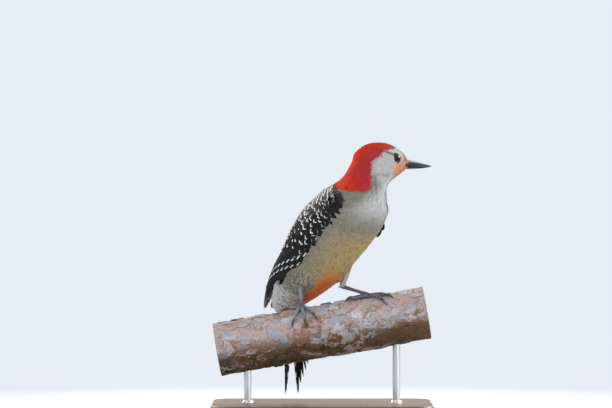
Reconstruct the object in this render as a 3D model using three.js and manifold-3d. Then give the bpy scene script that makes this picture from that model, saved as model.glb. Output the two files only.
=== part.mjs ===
// An adult male red-bellied woodpecker gripping a short length of branch, as a still, life-size
// display model on a flat wooden base with two metal rods. Units are millimetres, +Z is up, and the
// origin is the centre of the base's underside. The bird's own frame has F forward along its body,
// R to its right and U straight up, and it stands turned by BODY_YAW towards -Y.
import * as THREE from "three";
import { mergeVertices } from "three/addons/utils/BufferGeometryUtils.js";
import Module from "manifold-3d";

const wasm = await Module();
wasm.setup();

// ---------------------------------------------------------------- driving dimensions
const GAP = 0.3; // clearance between neighbouring solids
const DEG = Math.PI / 180;
const BODY_YAW = 40 * DEG; // the body turns from +X towards -Y by this much
const HEAD_TURN = 65 * DEG; // the head turns back to its left on the neck
const BODY_BACK = 7; // the bird's mid-plane passes this far behind the branch's axis
const NECK_F = 41; // the vertical line that the neck turns about

const BRANCH_RADIUS = 20.2;
const BRANCH_RISE = 9.8 * DEG; // slope of the branch, up towards +X
const BRANCH_HEIGHT = 69.5; // height of its axis above the origin
const BRANCH_HALF_LENGTH = 83;
const BRANCH_SIDES = 36;

const BASE_LENGTH = 172;
const BASE_WIDTH = 112;
const BASE_HEIGHT = 14;
const BASE_CORNER = 16;
const BASE_EDGE = 1.6; // rounded edge of the base
const ROD_RADIUS = 3;
const ROD_SPREAD = 58; // each rod's distance from the middle
const ROD_IN_BASE = 7;
const ROD_IN_BRANCH = 9;

const EYE_RADIUS = 3.7;
const EYE_ROW = 3.5; // where the eye sits along the body rows
const EYE_ANGLE = 74 * DEG; // and round them, from the crown
const EYE_SINK = 2.7; // depth of the eye's centre under the skin

const WING_PROUD = 0.9; // the folded wing's outer face above the body's outline
const WING_DEPTH = 1.9; // and its inner face below it
const WING_FRONT_ROW = 8.3;

const TARSUS_RADIUS = 1.45;
const TOE_RADIUS = 1.45;
const TOE_TIP_RADIUS = 1.05;
const PAD_RADIUS = 1.9; // the ball of the foot
const CLAW_LENGTH = 6.6;

// Body rows from the face to the root of the tail. Each is an upright oval section: the forward and
// up place of its back edge and of its belly edge, its half width, and its share of the head's turn.
const bodyRows = [
  { name: "face", back: [80.4, 201.6], belly: [79.4, 197.2], half: 2.2, turn: 1 },
  { name: "bill", back: [78.9, 202.7], belly: [77.2, 195.9], half: 4.4, turn: 1 },
  { name: "lores", back: [75.6, 207.6], belly: [72.9, 192.7], half: 8.4, turn: 1 },
  { name: "eye", back: [70.0, 212.1], belly: [67.5, 189.0], half: 11.4, turn: 1 },
  { name: "crown", back: [59.7, 216.2], belly: [63.2, 185.7], half: 13.8, turn: 1 },
  { name: "hindcrown", back: [46.0, 215.5], belly: [60.0, 181.5], half: 15, turn: 1 },
  { name: "nape", back: [35.6, 209.0], belly: [59.4, 176.8], half: 16.3, turn: 0.88 },
  { name: "neck", back: [32.0, 200.5], belly: [59.6, 170.3], half: 19, turn: 0.58 },
  { name: "neckbase", back: [25.2, 189.5], belly: [60.1, 162.3], half: 22.4, turn: 0.22 },
  { name: "shoulder", back: [9.4, 180.2], belly: [54.2, 150.9], half: 26.5, turn: 0 },
  { name: "chest", back: [-7.2, 168.2], belly: [42.8, 138.0], half: 28.5, turn: 0 },
  { name: "middle", back: [-20.8, 152.0], belly: [27.6, 123.5], half: 28, turn: 0 },
  { name: "belly", back: [-32.1, 134.4], belly: [12.2, 108.7], half: 25.5, turn: 0 },
  { name: "rump", back: [-41.7, 118.8], belly: [-6.1, 97.0], half: 21, turn: 0 },
  { name: "vent", back: [-46.8, 104.8], belly: [-20.4, 89.2], half: 15, turn: 0 },
  { name: "cover", back: [-47.9, 91.5], belly: [-30.5, 81.4], half: 10, turn: 0 },
  { name: "end", back: [-44.5, 83.5], belly: [-35.5, 78.5], half: 5, turn: 0 },
];
// The folded wings follow the body as far as the belly row, then run free to their tips.
const wingRows = [
  ...bodyRows.slice(0, 13),
  { name: "wing over rump", back: [-43.8, 118.8], belly: [-14.3, 100.1], half: 19, turn: 0 },
  { name: "wing over vent", back: [-52.4, 101.7], belly: [-38.7, 93.9], half: 12, turn: 0 },
  { name: "wing tip", back: [-58.5, 86.1], belly: [-55.0, 83.7], half: 4, turn: 0 },
];
// Edges of the folded wing, as row number and angle round the body from the middle of the back.
// The left wing hangs lower on its breast side by the drop, and stands off the body by the loose.
const wingEdges = [
  { row: WING_FRONT_ROW, upper: 60, lower: 87, drop: 0, loose: 0 },
  { row: 8.8, upper: 42, lower: 103, drop: 8, loose: 0.8 },
  { row: 9.6, upper: 31, lower: 107, drop: 20, loose: 2.4 },
  { row: 10.6, upper: 22, lower: 107, drop: 5, loose: 0.5 },
  { row: 11.6, upper: 15, lower: 102, drop: 1, loose: 0.1 },
  { row: 12.4, upper: 11, lower: 99, drop: 0, loose: 0 },
  { row: 13.2, upper: 9, lower: 106, drop: 0, loose: 0 },
  { row: 14.0, upper: 9, lower: 118, drop: 0, loose: 0 },
  { row: 14.6, upper: 20, lower: 126, drop: 0, loose: 0 },
  { row: 14.96, upper: 62, lower: 112, drop: 0, loose: 0 },
];
// The tail's centre line, the direction across it, and its half spread, from root to tip.
const tailPath = [
  { at: [-31, 33, 94], across: [-0.7, -0.71], spread: 2 },
  { at: [-28.4, 30.6, 80], across: [-0.78, -0.63], spread: 2.6 },
  { at: [-24.6, 28.2, 62], across: [-0.86, -0.51], spread: 6.4 },
  { at: [-23.6, 26.4, 44], across: [-0.92, -0.39], spread: 8 },
  { at: [-23.5, 24.4, 19], across: [-0.94, -0.34], spread: 10.6 },
];
// Tail feathers: place across the spread (right is positive), where the tip ends along the tail
// (1 is the very end), half width, and layer from the back (0) towards the belly.
const tailFeathers = [
  { across: 0.5, end: 1.0, half: 3.2, layer: 0 },
  { across: -0.5, end: 1.0, half: 3.4, layer: 0 },
  { across: 0.55, end: 0.88, half: 2.7, layer: 1 },
  { across: -0.75, end: 0.92, half: 3.1, layer: 1 },
  { across: 0.6, end: 0.77, half: 2.6, layer: 2 },
  { across: -1.0, end: 0.87, half: 3.0, layer: 2 },
  { across: 0.66, end: 0.67, half: 2.5, layer: 3 },
  { across: -1.3, end: 0.82, half: 2.8, layer: 3 },
  { across: 0.72, end: 0.56, half: 2.4, layer: 4 },
  { across: -1.6, end: 0.77, half: 2.6, layer: 4 },
];
const FEATHER_THICKNESS = 0.9;
const LAYER_STEP = 0.55;

// Each leg: hip, heel and foot. The foot stands on the branch at a distance along it and an angle
// round it from the top towards -Y, and so does every point of its toes. A claw ends its toe.
const legs = {
  right: {
    hip: [-9, -0.5, 117],
    heel: [-17.2, -6.8, 105.4],
    foot: [-12.4, 7],
    toes: [
      [[-12.4, 7], [-12.1, 25], [-11.8, 42], [-11.5, 57]],
      [[-12.4, 7], [-9.8, 17], [-7, 31], [-4.6, 45]],
      [[-12.4, 7], [-14.8, 21], [-17.7, 37], [-20, 52]],
      [[-12.4, 7], [-15.8, 8], [-19.2, 7], [-22.6, 6]],
    ],
  },
  left: {
    hip: [22.5, 11.5, 121],
    heel: [16, 9, 104.2],
    foot: [40.5, 9],
    toes: [
      [[40.5, 9], [46, 11], [51, 17], [54.5, 26]],
      [[40.5, 9], [44.6, 18], [48, 29], [50, 39]],
      [[40.5, 9], [35.5, 11], [31, 13], [27.5, 15]],
      [[40.5, 9], [36.5, 1], [32, -5], [28, -9]],
    ],
  },
};

// ---------------------------------------------------------------- frames and curves
const lerp = (a, b, t) => a + (b - a) * t;

// A point of the bird's frame (F, R, U) as a point of the model; turn is the head's turn there.
function birdPoint(F, R, U, turn = 0) {
  const angle = turn * HEAD_TURN;
  const f = NECK_F + (F - NECK_F) * Math.cos(angle) + R * Math.sin(angle);
  const r = -(F - NECK_F) * Math.sin(angle) + R * Math.cos(angle);
  return new THREE.Vector3(
    f * Math.cos(BODY_YAW) - r * Math.sin(BODY_YAW),
    BODY_BACK - f * Math.sin(BODY_YAW) - r * Math.cos(BODY_YAW),
    U,
  );
}

// Catmull-Rom value of a list of number arrays at position t, counted in list steps.
function along(list, t) {
  const last = list.length - 1;
  const i = Math.min(Math.max(Math.floor(t), 0), last - 1);
  const f = Math.min(Math.max(t - i, 0), 1);
  const get = (k, c) => {
    if (k < 0) return 2 * list[0][c] - list[1][c];
    if (k > last) return 2 * list[last][c] - list[last - 1][c];
    return list[k][c];
  };
  return list[0].map((_, c) => {
    const [a, b, d, e] = [get(i - 1, c), get(i, c), get(i + 1, c), get(i + 2, c)];
    const cubic = (2 * a - 5 * b + 4 * d - e) * f * f + (-a + 3 * b - 3 * d + e) * f * f * f;
    return 0.5 * (2 * b + (d - a) * f + cubic);
  });
}

const rowNumbers = (rows) => rows.map((r) => [...r.back, ...r.belly, r.half, r.turn]);
const sides = { right: 1, left: -1 };
const bodyNumbers = rowNumbers(bodyRows);
const wingNumbers = rowNumbers(wingRows);

// Point on an oval loft: row position u, angle v from the back towards the bird's right, and a
// distance out from the surface, measured in the section's own plane.
function loftPoint(numbers, u, v, out = 0) {
  const [backF, backU, bellyF, bellyU, half, turn] = along(numbers, u);
  const centre = [(backF + bellyF) / 2, (backU + bellyU) / 2];
  const reach = [(backF - bellyF) / 2, (backU - bellyU) / 2];
  const length = Math.hypot(...reach);
  const grow = (length + out) / length;
  const c = Math.cos(v) * grow;
  const side = (half + out) * Math.sin(v);
  return birdPoint(centre[0] + reach[0] * c, side, centre[1] + reach[1] * c, turn);
}

// A point over the branch: distance along it, angle round it in degrees, and height off the bark.
function branchPoint([distance, degrees], height = 0) {
  const radius = BRANCH_RADIUS + height;
  const up = radius * Math.cos(degrees * DEG);
  return new THREE.Vector3(
    distance * Math.cos(BRANCH_RISE) - up * Math.sin(BRANCH_RISE),
    -radius * Math.sin(degrees * DEG),
    BRANCH_HEIGHT + distance * Math.sin(BRANCH_RISE) + up * Math.cos(BRANCH_RISE),
  );
}

// ---------------------------------------------------------------- solids
// A closed solid through a list of rings with equal counts, each end closed by a fan to its centre.
function skinRings(rings) {
  const count = rings[0].length;
  const points = rings.flat();
  const faces = [];
  for (let i = 0; i + 1 < rings.length; i += 1) {
    for (let k = 0; k < count; k += 1) {
      const a = i * count + k;
      const b = i * count + ((k + 1) % count);
      faces.push([a, b, b + count], [a, b + count, a + count]);
    }
  }
  for (const [ring, base, flip] of [[rings[0], 0, true], [rings.at(-1), points.length - count, false]]) {
    const centre = new THREE.Vector3();
    ring.forEach((p) => centre.addScaledVector(p, 1 / count));
    points.push(centre);
    const c = points.length - 1;
    for (let k = 0; k < count; k += 1) {
      const [a, b] = [base + k, base + ((k + 1) % count)];
      faces.push(flip ? [c, b, a] : [c, a, b]);
    }
  }
  return solidOf(points, faces);
}

function solidOf(points, faces) {
  const volume = faces.reduce((sum, [a, b, c]) => {
    const cross = new THREE.Vector3().crossVectors(points[b], points[c]);
    return sum + points[a].dot(cross);
  }, 0);
  const order = volume > 0 ? faces : faces.map(([a, b, c]) => [a, c, b]);
  return new wasm.Manifold(new wasm.Mesh({
    numProp: 3,
    vertProperties: new Float32Array(points.flatMap((p) => p.toArray())),
    triVerts: new Uint32Array(order.flat()),
  }));
}

// A closed three.js geometry as a solid.
function solidFrom(geometry) {
  const bare = geometry.clone();
  bare.deleteAttribute("normal");
  bare.deleteAttribute("uv");
  const merged = mergeVertices(bare, 1e-4);
  return new wasm.Manifold(new wasm.Mesh({
    numProp: 3,
    vertProperties: merged.attributes.position.array,
    triVerts: new Uint32Array(merged.index.array),
  }));
}

function ballSolid(centre, radius, around = 10, rows = 6) {
  const ball = new THREE.SphereGeometry(radius, around, rows);
  ball.translate(...centre.toArray());
  return solidFrom(ball);
}

const joined = (solids) => solids.reduce((a, b) => a.add(b));

// A length of the body loft between two row positions, with a number of rings and sides.
function loftSolid(from, to, rings, sides, out = 0) {
  const list = [];
  for (let i = 0; i <= rings; i += 1) {
    const u = lerp(from, to, i / rings);
    const ring = [];
    for (let k = 0; k < sides; k += 1) ring.push(loftPoint(bodyNumbers, u, (2 * Math.PI * k) / sides, out));
    list.push(ring);
  }
  return skinRings(list);
}

// A round tube through points, with a radius at each point and the end rings square to the path.
function tubeSolid(points, radii, sides, rings) {
  const curve = new THREE.CatmullRomCurve3(points);
  const list = [];
  let side = new THREE.Vector3(0, 1, 0);
  for (let i = 0; i <= rings; i += 1) {
    const t = i / rings;
    const centre = curve.getPoint(t);
    const ahead = curve.getTangent(t);
    side = side.clone().addScaledVector(ahead, -side.dot(ahead)).normalize();
    const other = new THREE.Vector3().crossVectors(ahead, side);
    const [radius] = along(radii.map((r) => [r]), t * (radii.length - 1));
    const ring = [];
    for (let k = 0; k < sides; k += 1) {
      const angle = (2 * Math.PI * k) / sides;
      const p = centre.clone();
      p.addScaledVector(side, radius * Math.cos(angle)).addScaledVector(other, radius * Math.sin(angle));
      ring.push(p);
    }
    list.push(ring);
  }
  return skinRings(list);
}

// ---------------------------------------------------------------- bird: eyes and bill
function eyeCentre(side) {
  const step = 0.01;
  const angle = side * EYE_ANGLE;
  const p = loftPoint(bodyNumbers, EYE_ROW, angle);
  const du = loftPoint(bodyNumbers, EYE_ROW + step, angle).sub(p);
  const dv = loftPoint(bodyNumbers, EYE_ROW, angle + step).sub(p);
  const normal = new THREE.Vector3().crossVectors(dv, du).normalize();
  const inside = loftPoint(bodyNumbers, EYE_ROW, 0).lerp(loftPoint(bodyNumbers, EYE_ROW, Math.PI), 0.5);
  if (normal.dot(inside.sub(p)) > 0) normal.negate();
  return p.addScaledVector(normal, -EYE_SINK);
}

function eyeSolid(side, grow = 0) {
  return ballSolid(eyeCentre(side), EYE_RADIUS + grow, 12, 8);
}

// Half of the bill: rows give the forward place, the ridge's and the cutting edge's height, and
// the half width at the cutting edge. The section is a rounded wedge with its flat at that edge.
function billSolid(rows, grow = 0) {
  const steps = 7;
  const half = 4;
  const list = [];
  for (let i = 0; i <= steps; i += 1) {
    const [F, ridge, edge, width] = along(rows, (i / steps) * (rows.length - 1));
    const away = Math.sign(ridge - edge);
    const ring = [];
    for (let k = 0; k <= half * 2; k += 1) {
      const angle = (Math.PI * k) / (half * 2);
      const R = (width + grow) * Math.cos(angle);
      const U = lerp(edge - away * grow, ridge + away * grow, Math.sin(angle) ** 0.8);
      ring.push(birdPoint(F + (i === steps ? grow : 0), R, U, 1));
    }
    list.push(ring);
  }
  return skinRings(list);
}

const upperBill = [
  [74.5, 203.6, 199.7, 3.3],
  [79.5, 203.6, 199.4, 3.6],
  [85, 202.8, 198.9, 2.9],
  [92, 201.2, 198.5, 1.9],
  [98, 199.7, 198.3, 0.9],
  [100.8, 198.8, 198.25, 0.35],
];
const lowerBill = [
  [74.5, 196.0, 199.4, 3.1],
  [79.5, 196.0, 199.1, 3.3],
  [85, 196.2, 198.6, 2.7],
  [91, 196.5, 198.2, 1.7],
  [96.5, 197.2, 198.0, 0.9],
  [99.4, 197.6, 197.98, 0.35],
];

// ---------------------------------------------------------------- bird: wings
const edgeNumbers = {
  right: wingEdges.map((e) => [e.row, e.upper * DEG, e.lower * DEG, 0]),
  left: wingEdges.map((e) => [e.row, e.upper * DEG, (e.lower + e.drop) * DEG, e.loose]),
};

// The folded wing of one side: a thin shell between an outer and an inner face that close on both
// edges. Share runs along the wing from shoulder to tip, and its thickness fades at each end.
function wingSolid(name, grow = 0) {
  const edges = edgeNumbers[name];
  const lengths = 18;
  const across = 6;
  const list = [];
  for (let i = 0; i <= lengths; i += 1) {
    const share = i / lengths;
    const [row, upper, lower, loose] = along(edges, share * (edges.length - 1));
    const taper = Math.sqrt(Math.min(1, 0.06 + share * 6, 0.12 + (1 - share) * 5));
    const spare = grow / 22;
    const outer = [];
    const inner = [];
    for (let k = 0; k <= across; k += 1) {
      const t = k / across;
      const v = sides[name] * lerp(upper - spare, lower + spare, t);
      const lift = loose * t * t;
      const swell = Math.max(0.22, Math.sin(Math.PI * t) ** 0.4) * taper;
      outer.push(loftPoint(wingNumbers, row, v, lift + WING_PROUD * swell + grow));
      inner.push(loftPoint(wingNumbers, row, v, lift - WING_DEPTH * swell - grow));
    }
    list.push([...outer, ...inner.reverse()]);
  }
  return skinRings(list);
}

// ---------------------------------------------------------------- bird: tail
const tailNumbers = tailPath.map((p) => [...p.at, ...p.across, p.spread]);

// One pointed tail feather as a flat, closed blade from the root to its tip.
function tailFeather({ across, end, half, layer }) {
  const steps = 7;
  const sides = 6;
  const list = [];
  for (let i = 0; i <= steps; i += 1) {
    const share = (i / steps) * end;
    const [x, y, z, ax, ay, spread] = along(tailNumbers, share * (tailNumbers.length - 1));
    const ahead = along(tailNumbers, Math.min(1, share + 0.02) * (tailNumbers.length - 1));
    const behind = along(tailNumbers, Math.max(0, share - 0.02) * (tailNumbers.length - 1));
    const down = new THREE.Vector3(ahead[0] - behind[0], ahead[1] - behind[1], ahead[2] - behind[2]);
    const wide = new THREE.Vector3(ax, ay, 0).normalize();
    const belly = new THREE.Vector3().crossVectors(down, wide).normalize();
    if (belly.y > 0) belly.negate();
    const left = 1 - i / steps;
    const point = Math.min(1, 0.1 + left * 4.2);
    const width = half * lerp(0.75, 1, Math.min(1, share * 3)) * point;
    const depth = (FEATHER_THICKNESS / 2) * lerp(0.55, 1, Math.min(1, left * 5));
    const centre = new THREE.Vector3(x, y, z);
    centre.addScaledVector(wide, across * spread);
    centre.addScaledVector(belly, layer * LAYER_STEP * lerp(1, 0.7, share));
    const ring = [];
    for (let k = 0; k < sides; k += 1) {
      const angle = (2 * Math.PI * k) / sides;
      const p = centre.clone().addScaledVector(wide, width * Math.cos(angle));
      ring.push(p.addScaledVector(belly, depth * Math.sin(angle)));
    }
    list.push(ring);
  }
  return skinRings(list);
}

// ---------------------------------------------------------------- bird: legs
const vector = (p) => new THREE.Vector3(...p);
const footCentre = (leg) => branchPoint(leg.foot, PAD_RADIUS + GAP);

// The feathered part of the leg, a cone from the flank to just above the heel.
function thighSolid(leg, grow = 0) {
  const [hip, heel] = [vector(leg.hip), vector(leg.heel)];
  const end = hip.clone().lerp(heel, 0.9);
  const middle = hip.clone().lerp(heel, 0.5);
  return tubeSolid([hip, middle, end], [8 + grow, 6 + grow, 2.8 + grow], 12, 4);
}

// The bare scaled leg from heel to foot, with a ball at the heel and a swelling at the foot.
function tarsusSolid(leg) {
  const heel = vector(leg.heel);
  const foot = footCentre(leg);
  const radii = [1.3, 1, 0.95, 1, 1.15].map((k) => k * TARSUS_RADIUS);
  return joined([
    ballSolid(heel, TARSUS_RADIUS * 1.45),
    tubeSolid([heel, heel.clone().lerp(foot, 0.5), foot], radii, 8, 5),
  ]);
}

const toePoint = (p) => branchPoint(p, TOE_RADIUS + GAP);

function toeSolid(path, grow = 0) {
  const radii = [1.05, 1, 1, 0.9, TOE_TIP_RADIUS / TOE_RADIUS].map((k) => k * TOE_RADIUS + grow);
  return tubeSolid(path.map(toePoint), radii, 6, 5);
}

function toesSolid(leg, grow = 0) {
  const pad = ballSolid(branchPoint(leg.foot, PAD_RADIUS + GAP), PAD_RADIUS + grow);
  return joined([pad, ...leg.toes.map((path) => toeSolid(path, grow))]);
}

// A curved claw that leaves the toe's end, arches off the bark and comes down to it with its point.
function clawSolid(path) {
  const [before, last] = path.slice(-2);
  const perDegree = (BRANCH_RADIUS + TOE_RADIUS) * DEG;
  const step = [last[0] - before[0], (last[1] - before[1]) * perDegree];
  const length = Math.hypot(...step);
  const at = (share, height) => branchPoint([
    last[0] + (step[0] / length) * CLAW_LENGTH * share,
    last[1] + ((step[1] / length) * CLAW_LENGTH * share) / perDegree,
  ], height);
  const points = [at(-0.12, 1.75), at(0.25, 2.35), at(0.6, 2.0), at(0.85, 1.15), at(0.97, 0.45)];
  return tubeSolid(points, [0.95, 0.95, 0.75, 0.45, 0.16], 6, 6);
}

// ---------------------------------------------------------------- branch and stand
// The perch: a straight length of branch, sawn square at both ends.
function branchSolid() {
  const ends = [-BRANCH_HALF_LENGTH, BRANCH_HALF_LENGTH];
  const ringAt = (distance) => {
    const turns = Array.from({ length: BRANCH_SIDES }, (_, k) => (360 * k) / BRANCH_SIDES);
    return turns.map((degrees) => branchPoint([distance, degrees]));
  };
  return skinRings(ends.map(ringAt));
}

function rodSolid(x, grow = 0) {
  const under = branchPoint([x / Math.cos(BRANCH_RISE), 180]).z;
  const low = BASE_HEIGHT - ROD_IN_BASE - grow;
  const high = under + ROD_IN_BRANCH + grow;
  const rod = new THREE.CylinderGeometry(ROD_RADIUS + grow, ROD_RADIUS + grow, high - low, 20);
  rod.rotateX(Math.PI / 2);
  rod.translate(x, 0, (low + high) / 2);
  return solidFrom(rod);
}

function baseSolid() {
  const [x, y] = [BASE_LENGTH / 2 - BASE_EDGE, BASE_WIDTH / 2 - BASE_EDGE];
  const r = BASE_CORNER;
  const outline = new THREE.Shape();
  outline.moveTo(x - r, -y);
  outline.absarc(x - r, -y + r, r, -Math.PI / 2, 0);
  outline.absarc(x - r, y - r, r, 0, Math.PI / 2);
  outline.absarc(-x + r, y - r, r, Math.PI / 2, Math.PI);
  outline.absarc(-x + r, -y + r, r, Math.PI, 1.5 * Math.PI);
  outline.closePath();
  const slab = new THREE.ExtrudeGeometry(outline, {
    depth: BASE_HEIGHT - 2 * BASE_EDGE,
    bevelEnabled: true,
    bevelThickness: BASE_EDGE,
    bevelSize: BASE_EDGE,
    bevelSegments: 2,
    curveSegments: 4,
  });
  slab.translate(0, 0, BASE_EDGE);
  return solidFrom(slab);
}

// ---------------------------------------------------------------- materials and assembly
const finish = (color, roughness, metalness = 0) => new THREE.MeshStandardMaterial({ color, roughness, metalness });
const feather = (color) => () => finish(color, 0.85);
const redFeather = feather(0xb5321e);
const greyFeather = feather(0xb9ad98);
const barredFeather = feather(0x2c2a29);
const horn = () => finish(0x3a3f45, 0.4);
const eyeGlass = () => finish(0x3a1a12, 0.1);
const scaledLeg = () => finish(0x7d858a, 0.6);
const bark = () => finish(0x8f7a6c, 0.9);
const wood = () => finish(0x6b4a32, 0.5);
const steel = () => finish(0xb8bcc0, 0.3, 1);

const woodpecker = new THREE.Group();
woodpecker.name = "woodpecker";

function add(name, solid, material) {
  const { vertProperties, triVerts } = solid.getMesh();
  const geometry = new THREE.BufferGeometry();
  geometry.setAttribute("position", new THREE.BufferAttribute(new Float32Array(vertProperties), 3));
  geometry.setIndex(new THREE.BufferAttribute(new Uint32Array(triVerts), 1));
  geometry.computeVertexNormals();
  const mesh = new THREE.Mesh(geometry, material());
  mesh.name = name;
  woodpecker.add(mesh);
}

const HEAD_END = 6.1; // row position of the cut between head and neck
const NECK_END = 8.1; // and between neck and trunk
const CUT = 0.03; // half of each cut, in rows
const billCut = [billSolid(upperBill, GAP), billSolid(lowerBill, GAP)];
const eyeCut = Object.values(sides).map((side) => eyeSolid(side, GAP));
const wingCut = joined(Object.keys(sides).map((name) => wingSolid(name, GAP)));
const bodyCut = loftSolid(NECK_END, bodyRows.length - 1, 14, 24, GAP);

const head = loftSolid(0, HEAD_END - CUT, 13, 22).subtract(joined([...billCut, ...eyeCut]));
const neck = loftSolid(HEAD_END + CUT, NECK_END - CUT, 5, 24);
const trunk = loftSolid(NECK_END + CUT, bodyRows.length - 1, 14, 24).subtract(wingCut);
add("head", head, redFeather);
add("neck", neck, redFeather);
add("trunk", trunk, greyFeather);
add("bill_upper", billSolid(upperBill), horn);
add("bill_lower", billSolid(lowerBill), horn);
add("tail", joined(tailFeathers.map(tailFeather)).subtract(bodyCut).subtract(wingCut), barredFeather);

for (const [name, side] of Object.entries(sides)) {
  const leg = legs[name];
  const thigh = thighSolid(leg).subtract(bodyCut).subtract(wingCut);
  const tarsus = tarsusSolid(leg).subtract(thighSolid(leg, GAP)).subtract(toesSolid(leg, GAP)).subtract(bodyCut);
  add(`eye_${name}`, eyeSolid(side), eyeGlass);
  add(`wing_${name}`, wingSolid(name), barredFeather);
  add(`thigh_${name}`, thigh, greyFeather);
  add(`tarsus_${name}`, tarsus, scaledLeg);
  add(`toes_${name}`, toesSolid(leg), scaledLeg);
  leg.toes.forEach((path, i) => {
    add(`claw_${name}_${i + 1}`, clawSolid(path).subtract(toeSolid(path, GAP)), horn);
  });
}

const rodPlaces = [-ROD_SPREAD, ROD_SPREAD];
const rodCut = joined(rodPlaces.map((x) => rodSolid(x, GAP)));
add("perch", branchSolid().subtract(rodCut), bark);
add("stand_base", baseSolid().subtract(rodCut), wood);
rodPlaces.forEach((x, i) => add(`stand_rod_${i + 1}`, rodSolid(x), steel));

export default woodpecker;
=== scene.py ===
# %% [markdown]
# A woodpecker for a display case, life size, on a short piece of branch.
# The measuring model fixes where every part is, so this lesson moves nothing: it gives each part its
# skin, feathers, horn, bark or wood. Shapes are worked out as arrays of numbers with numpy, in
# millimetres, and handed to Blender once. The first cell loads the measured frame and keeps its box.

# %% Load the frame
import math
import bpy
import numpy as np
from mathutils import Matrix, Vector
from numpy.random import default_rng


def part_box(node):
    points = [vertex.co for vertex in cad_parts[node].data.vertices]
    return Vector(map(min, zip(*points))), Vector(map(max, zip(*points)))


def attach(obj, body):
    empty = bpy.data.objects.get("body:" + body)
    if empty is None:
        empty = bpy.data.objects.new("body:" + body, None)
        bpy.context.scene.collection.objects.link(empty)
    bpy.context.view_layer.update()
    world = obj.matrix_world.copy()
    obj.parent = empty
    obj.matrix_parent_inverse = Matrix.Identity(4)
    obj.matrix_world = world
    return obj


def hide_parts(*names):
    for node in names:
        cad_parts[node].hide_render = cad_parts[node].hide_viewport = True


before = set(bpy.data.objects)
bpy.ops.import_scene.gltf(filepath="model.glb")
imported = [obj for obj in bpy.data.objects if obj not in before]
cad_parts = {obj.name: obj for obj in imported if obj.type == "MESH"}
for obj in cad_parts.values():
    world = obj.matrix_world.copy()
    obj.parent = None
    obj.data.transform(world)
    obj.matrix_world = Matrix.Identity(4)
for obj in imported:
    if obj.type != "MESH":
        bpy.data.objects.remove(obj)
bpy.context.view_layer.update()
scene = bpy.context.scene
MM = 0.001
print("frame nodes:", len(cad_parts))

# %% [markdown]
# ## The body's outline
# A bird's body is a smooth spindle, described by stations from the bill to the tail: where the back and
# the belly lie in the bird's own middle plane (forward, up), how wide the body is, and how far the head
# has turned. It could be sculpted, but stations keep solid and coat alike, and a feather can say where
# it grows in two numbers: how far along, and how far round from the middle of the back.

# %% Stations of body and wing
BODY_YAW = math.radians(40)
HEAD_TURN = math.radians(65)
BODY_BACK = 7.0
NECK_F = 41.0

# back (forward, up), belly (forward, up), half width, share of the head's turn
BODY_ROWS = [
    (80.4, 201.6, 79.4, 197.2, 2.2, 1),
    (78.9, 202.7, 77.2, 195.9, 4.4, 1),
    (75.6, 207.6, 72.9, 192.7, 8.4, 1),
    (70.0, 212.1, 67.5, 189.0, 11.4, 1),
    (59.7, 216.2, 63.2, 185.7, 13.8, 1),
    (46.0, 215.5, 60.0, 181.5, 15.0, 1),
    (35.6, 209.0, 59.4, 176.8, 16.3, 0.88),
    (32.0, 200.5, 59.6, 170.3, 19.0, 0.58),
    (25.2, 189.5, 60.1, 162.3, 22.4, 0.22),
    (9.4, 180.2, 54.2, 150.9, 26.5, 0),
    (-7.2, 168.2, 42.8, 138.0, 28.5, 0),
    (-20.8, 152.0, 27.6, 123.5, 28.0, 0),
    (-32.1, 134.4, 12.2, 108.7, 25.5, 0),
    (-41.7, 118.8, -6.1, 97.0, 21.0, 0),
    (-46.8, 104.8, -20.4, 89.2, 15.0, 0),
    (-47.9, 91.5, -30.5, 81.4, 10.0, 0),
    (-44.5, 83.5, -35.5, 78.5, 5.0, 0),
]
WING_END_ROWS = [
    (-43.8, 118.8, -14.3, 100.1, 19.0, 0),
    (-52.4, 101.7, -38.7, 93.9, 12.0, 0),
    (-58.5, 86.1, -55.0, 83.7, 4.0, 0),
]
BODY = np.array(BODY_ROWS, float)
WING = np.array(BODY_ROWS[:13] + WING_END_ROWS, float)
LAST_ROW = len(BODY) - 1


def stacked(*parts):
    """Parts spread to one shape and set side by side on the last axis."""
    return np.stack(np.broadcast_arrays(*parts), -1)


def spread(rows, columns):
    """Every row value with every column value, as two grids."""
    return np.meshgrid(rows, columns, indexing="ij")


def turned_by(angle, one, two):
    """The direction one turned towards the direction two: one x cos + two x sin."""
    return np.cos(angle)[..., None] * one + np.sin(angle)[..., None] * two


def along(table, t):
    """Reads a table between its rows with the cubic that passes through every row (Catmull-Rom)."""
    n = len(table)
    padded = np.vstack([2 * table[:1] - table[1:2], table, 2 * table[-1:] - table[-2:-1]])
    t = np.asarray(t, float)
    i = np.clip(np.floor(t).astype(int), 0, n - 2)
    f = np.clip(t - i, 0, 1)[..., None]
    a, b, c, d = (padded[i + k] for k in range(4))
    return 0.5 * (2 * b + (c - a) * f + (2 * a - 5 * b + 4 * c - d) * f**2 + (3 * b - a - 3 * c + d) * f**3)


def bird_point(forward, right, up, turn):
    """From the bird's own directions to the stand's: the head's turn about the neck, then the body's yaw."""
    angle = turn * HEAD_TURN
    f = NECK_F + (forward - NECK_F) * np.cos(angle) + right * np.sin(angle)
    r = -(forward - NECK_F) * np.sin(angle) + right * np.cos(angle)
    x = f * math.cos(BODY_YAW) - r * math.sin(BODY_YAW)
    y = BODY_BACK - f * math.sin(BODY_YAW) - r * math.cos(BODY_YAW)
    return stacked(x, y, up)


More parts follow.
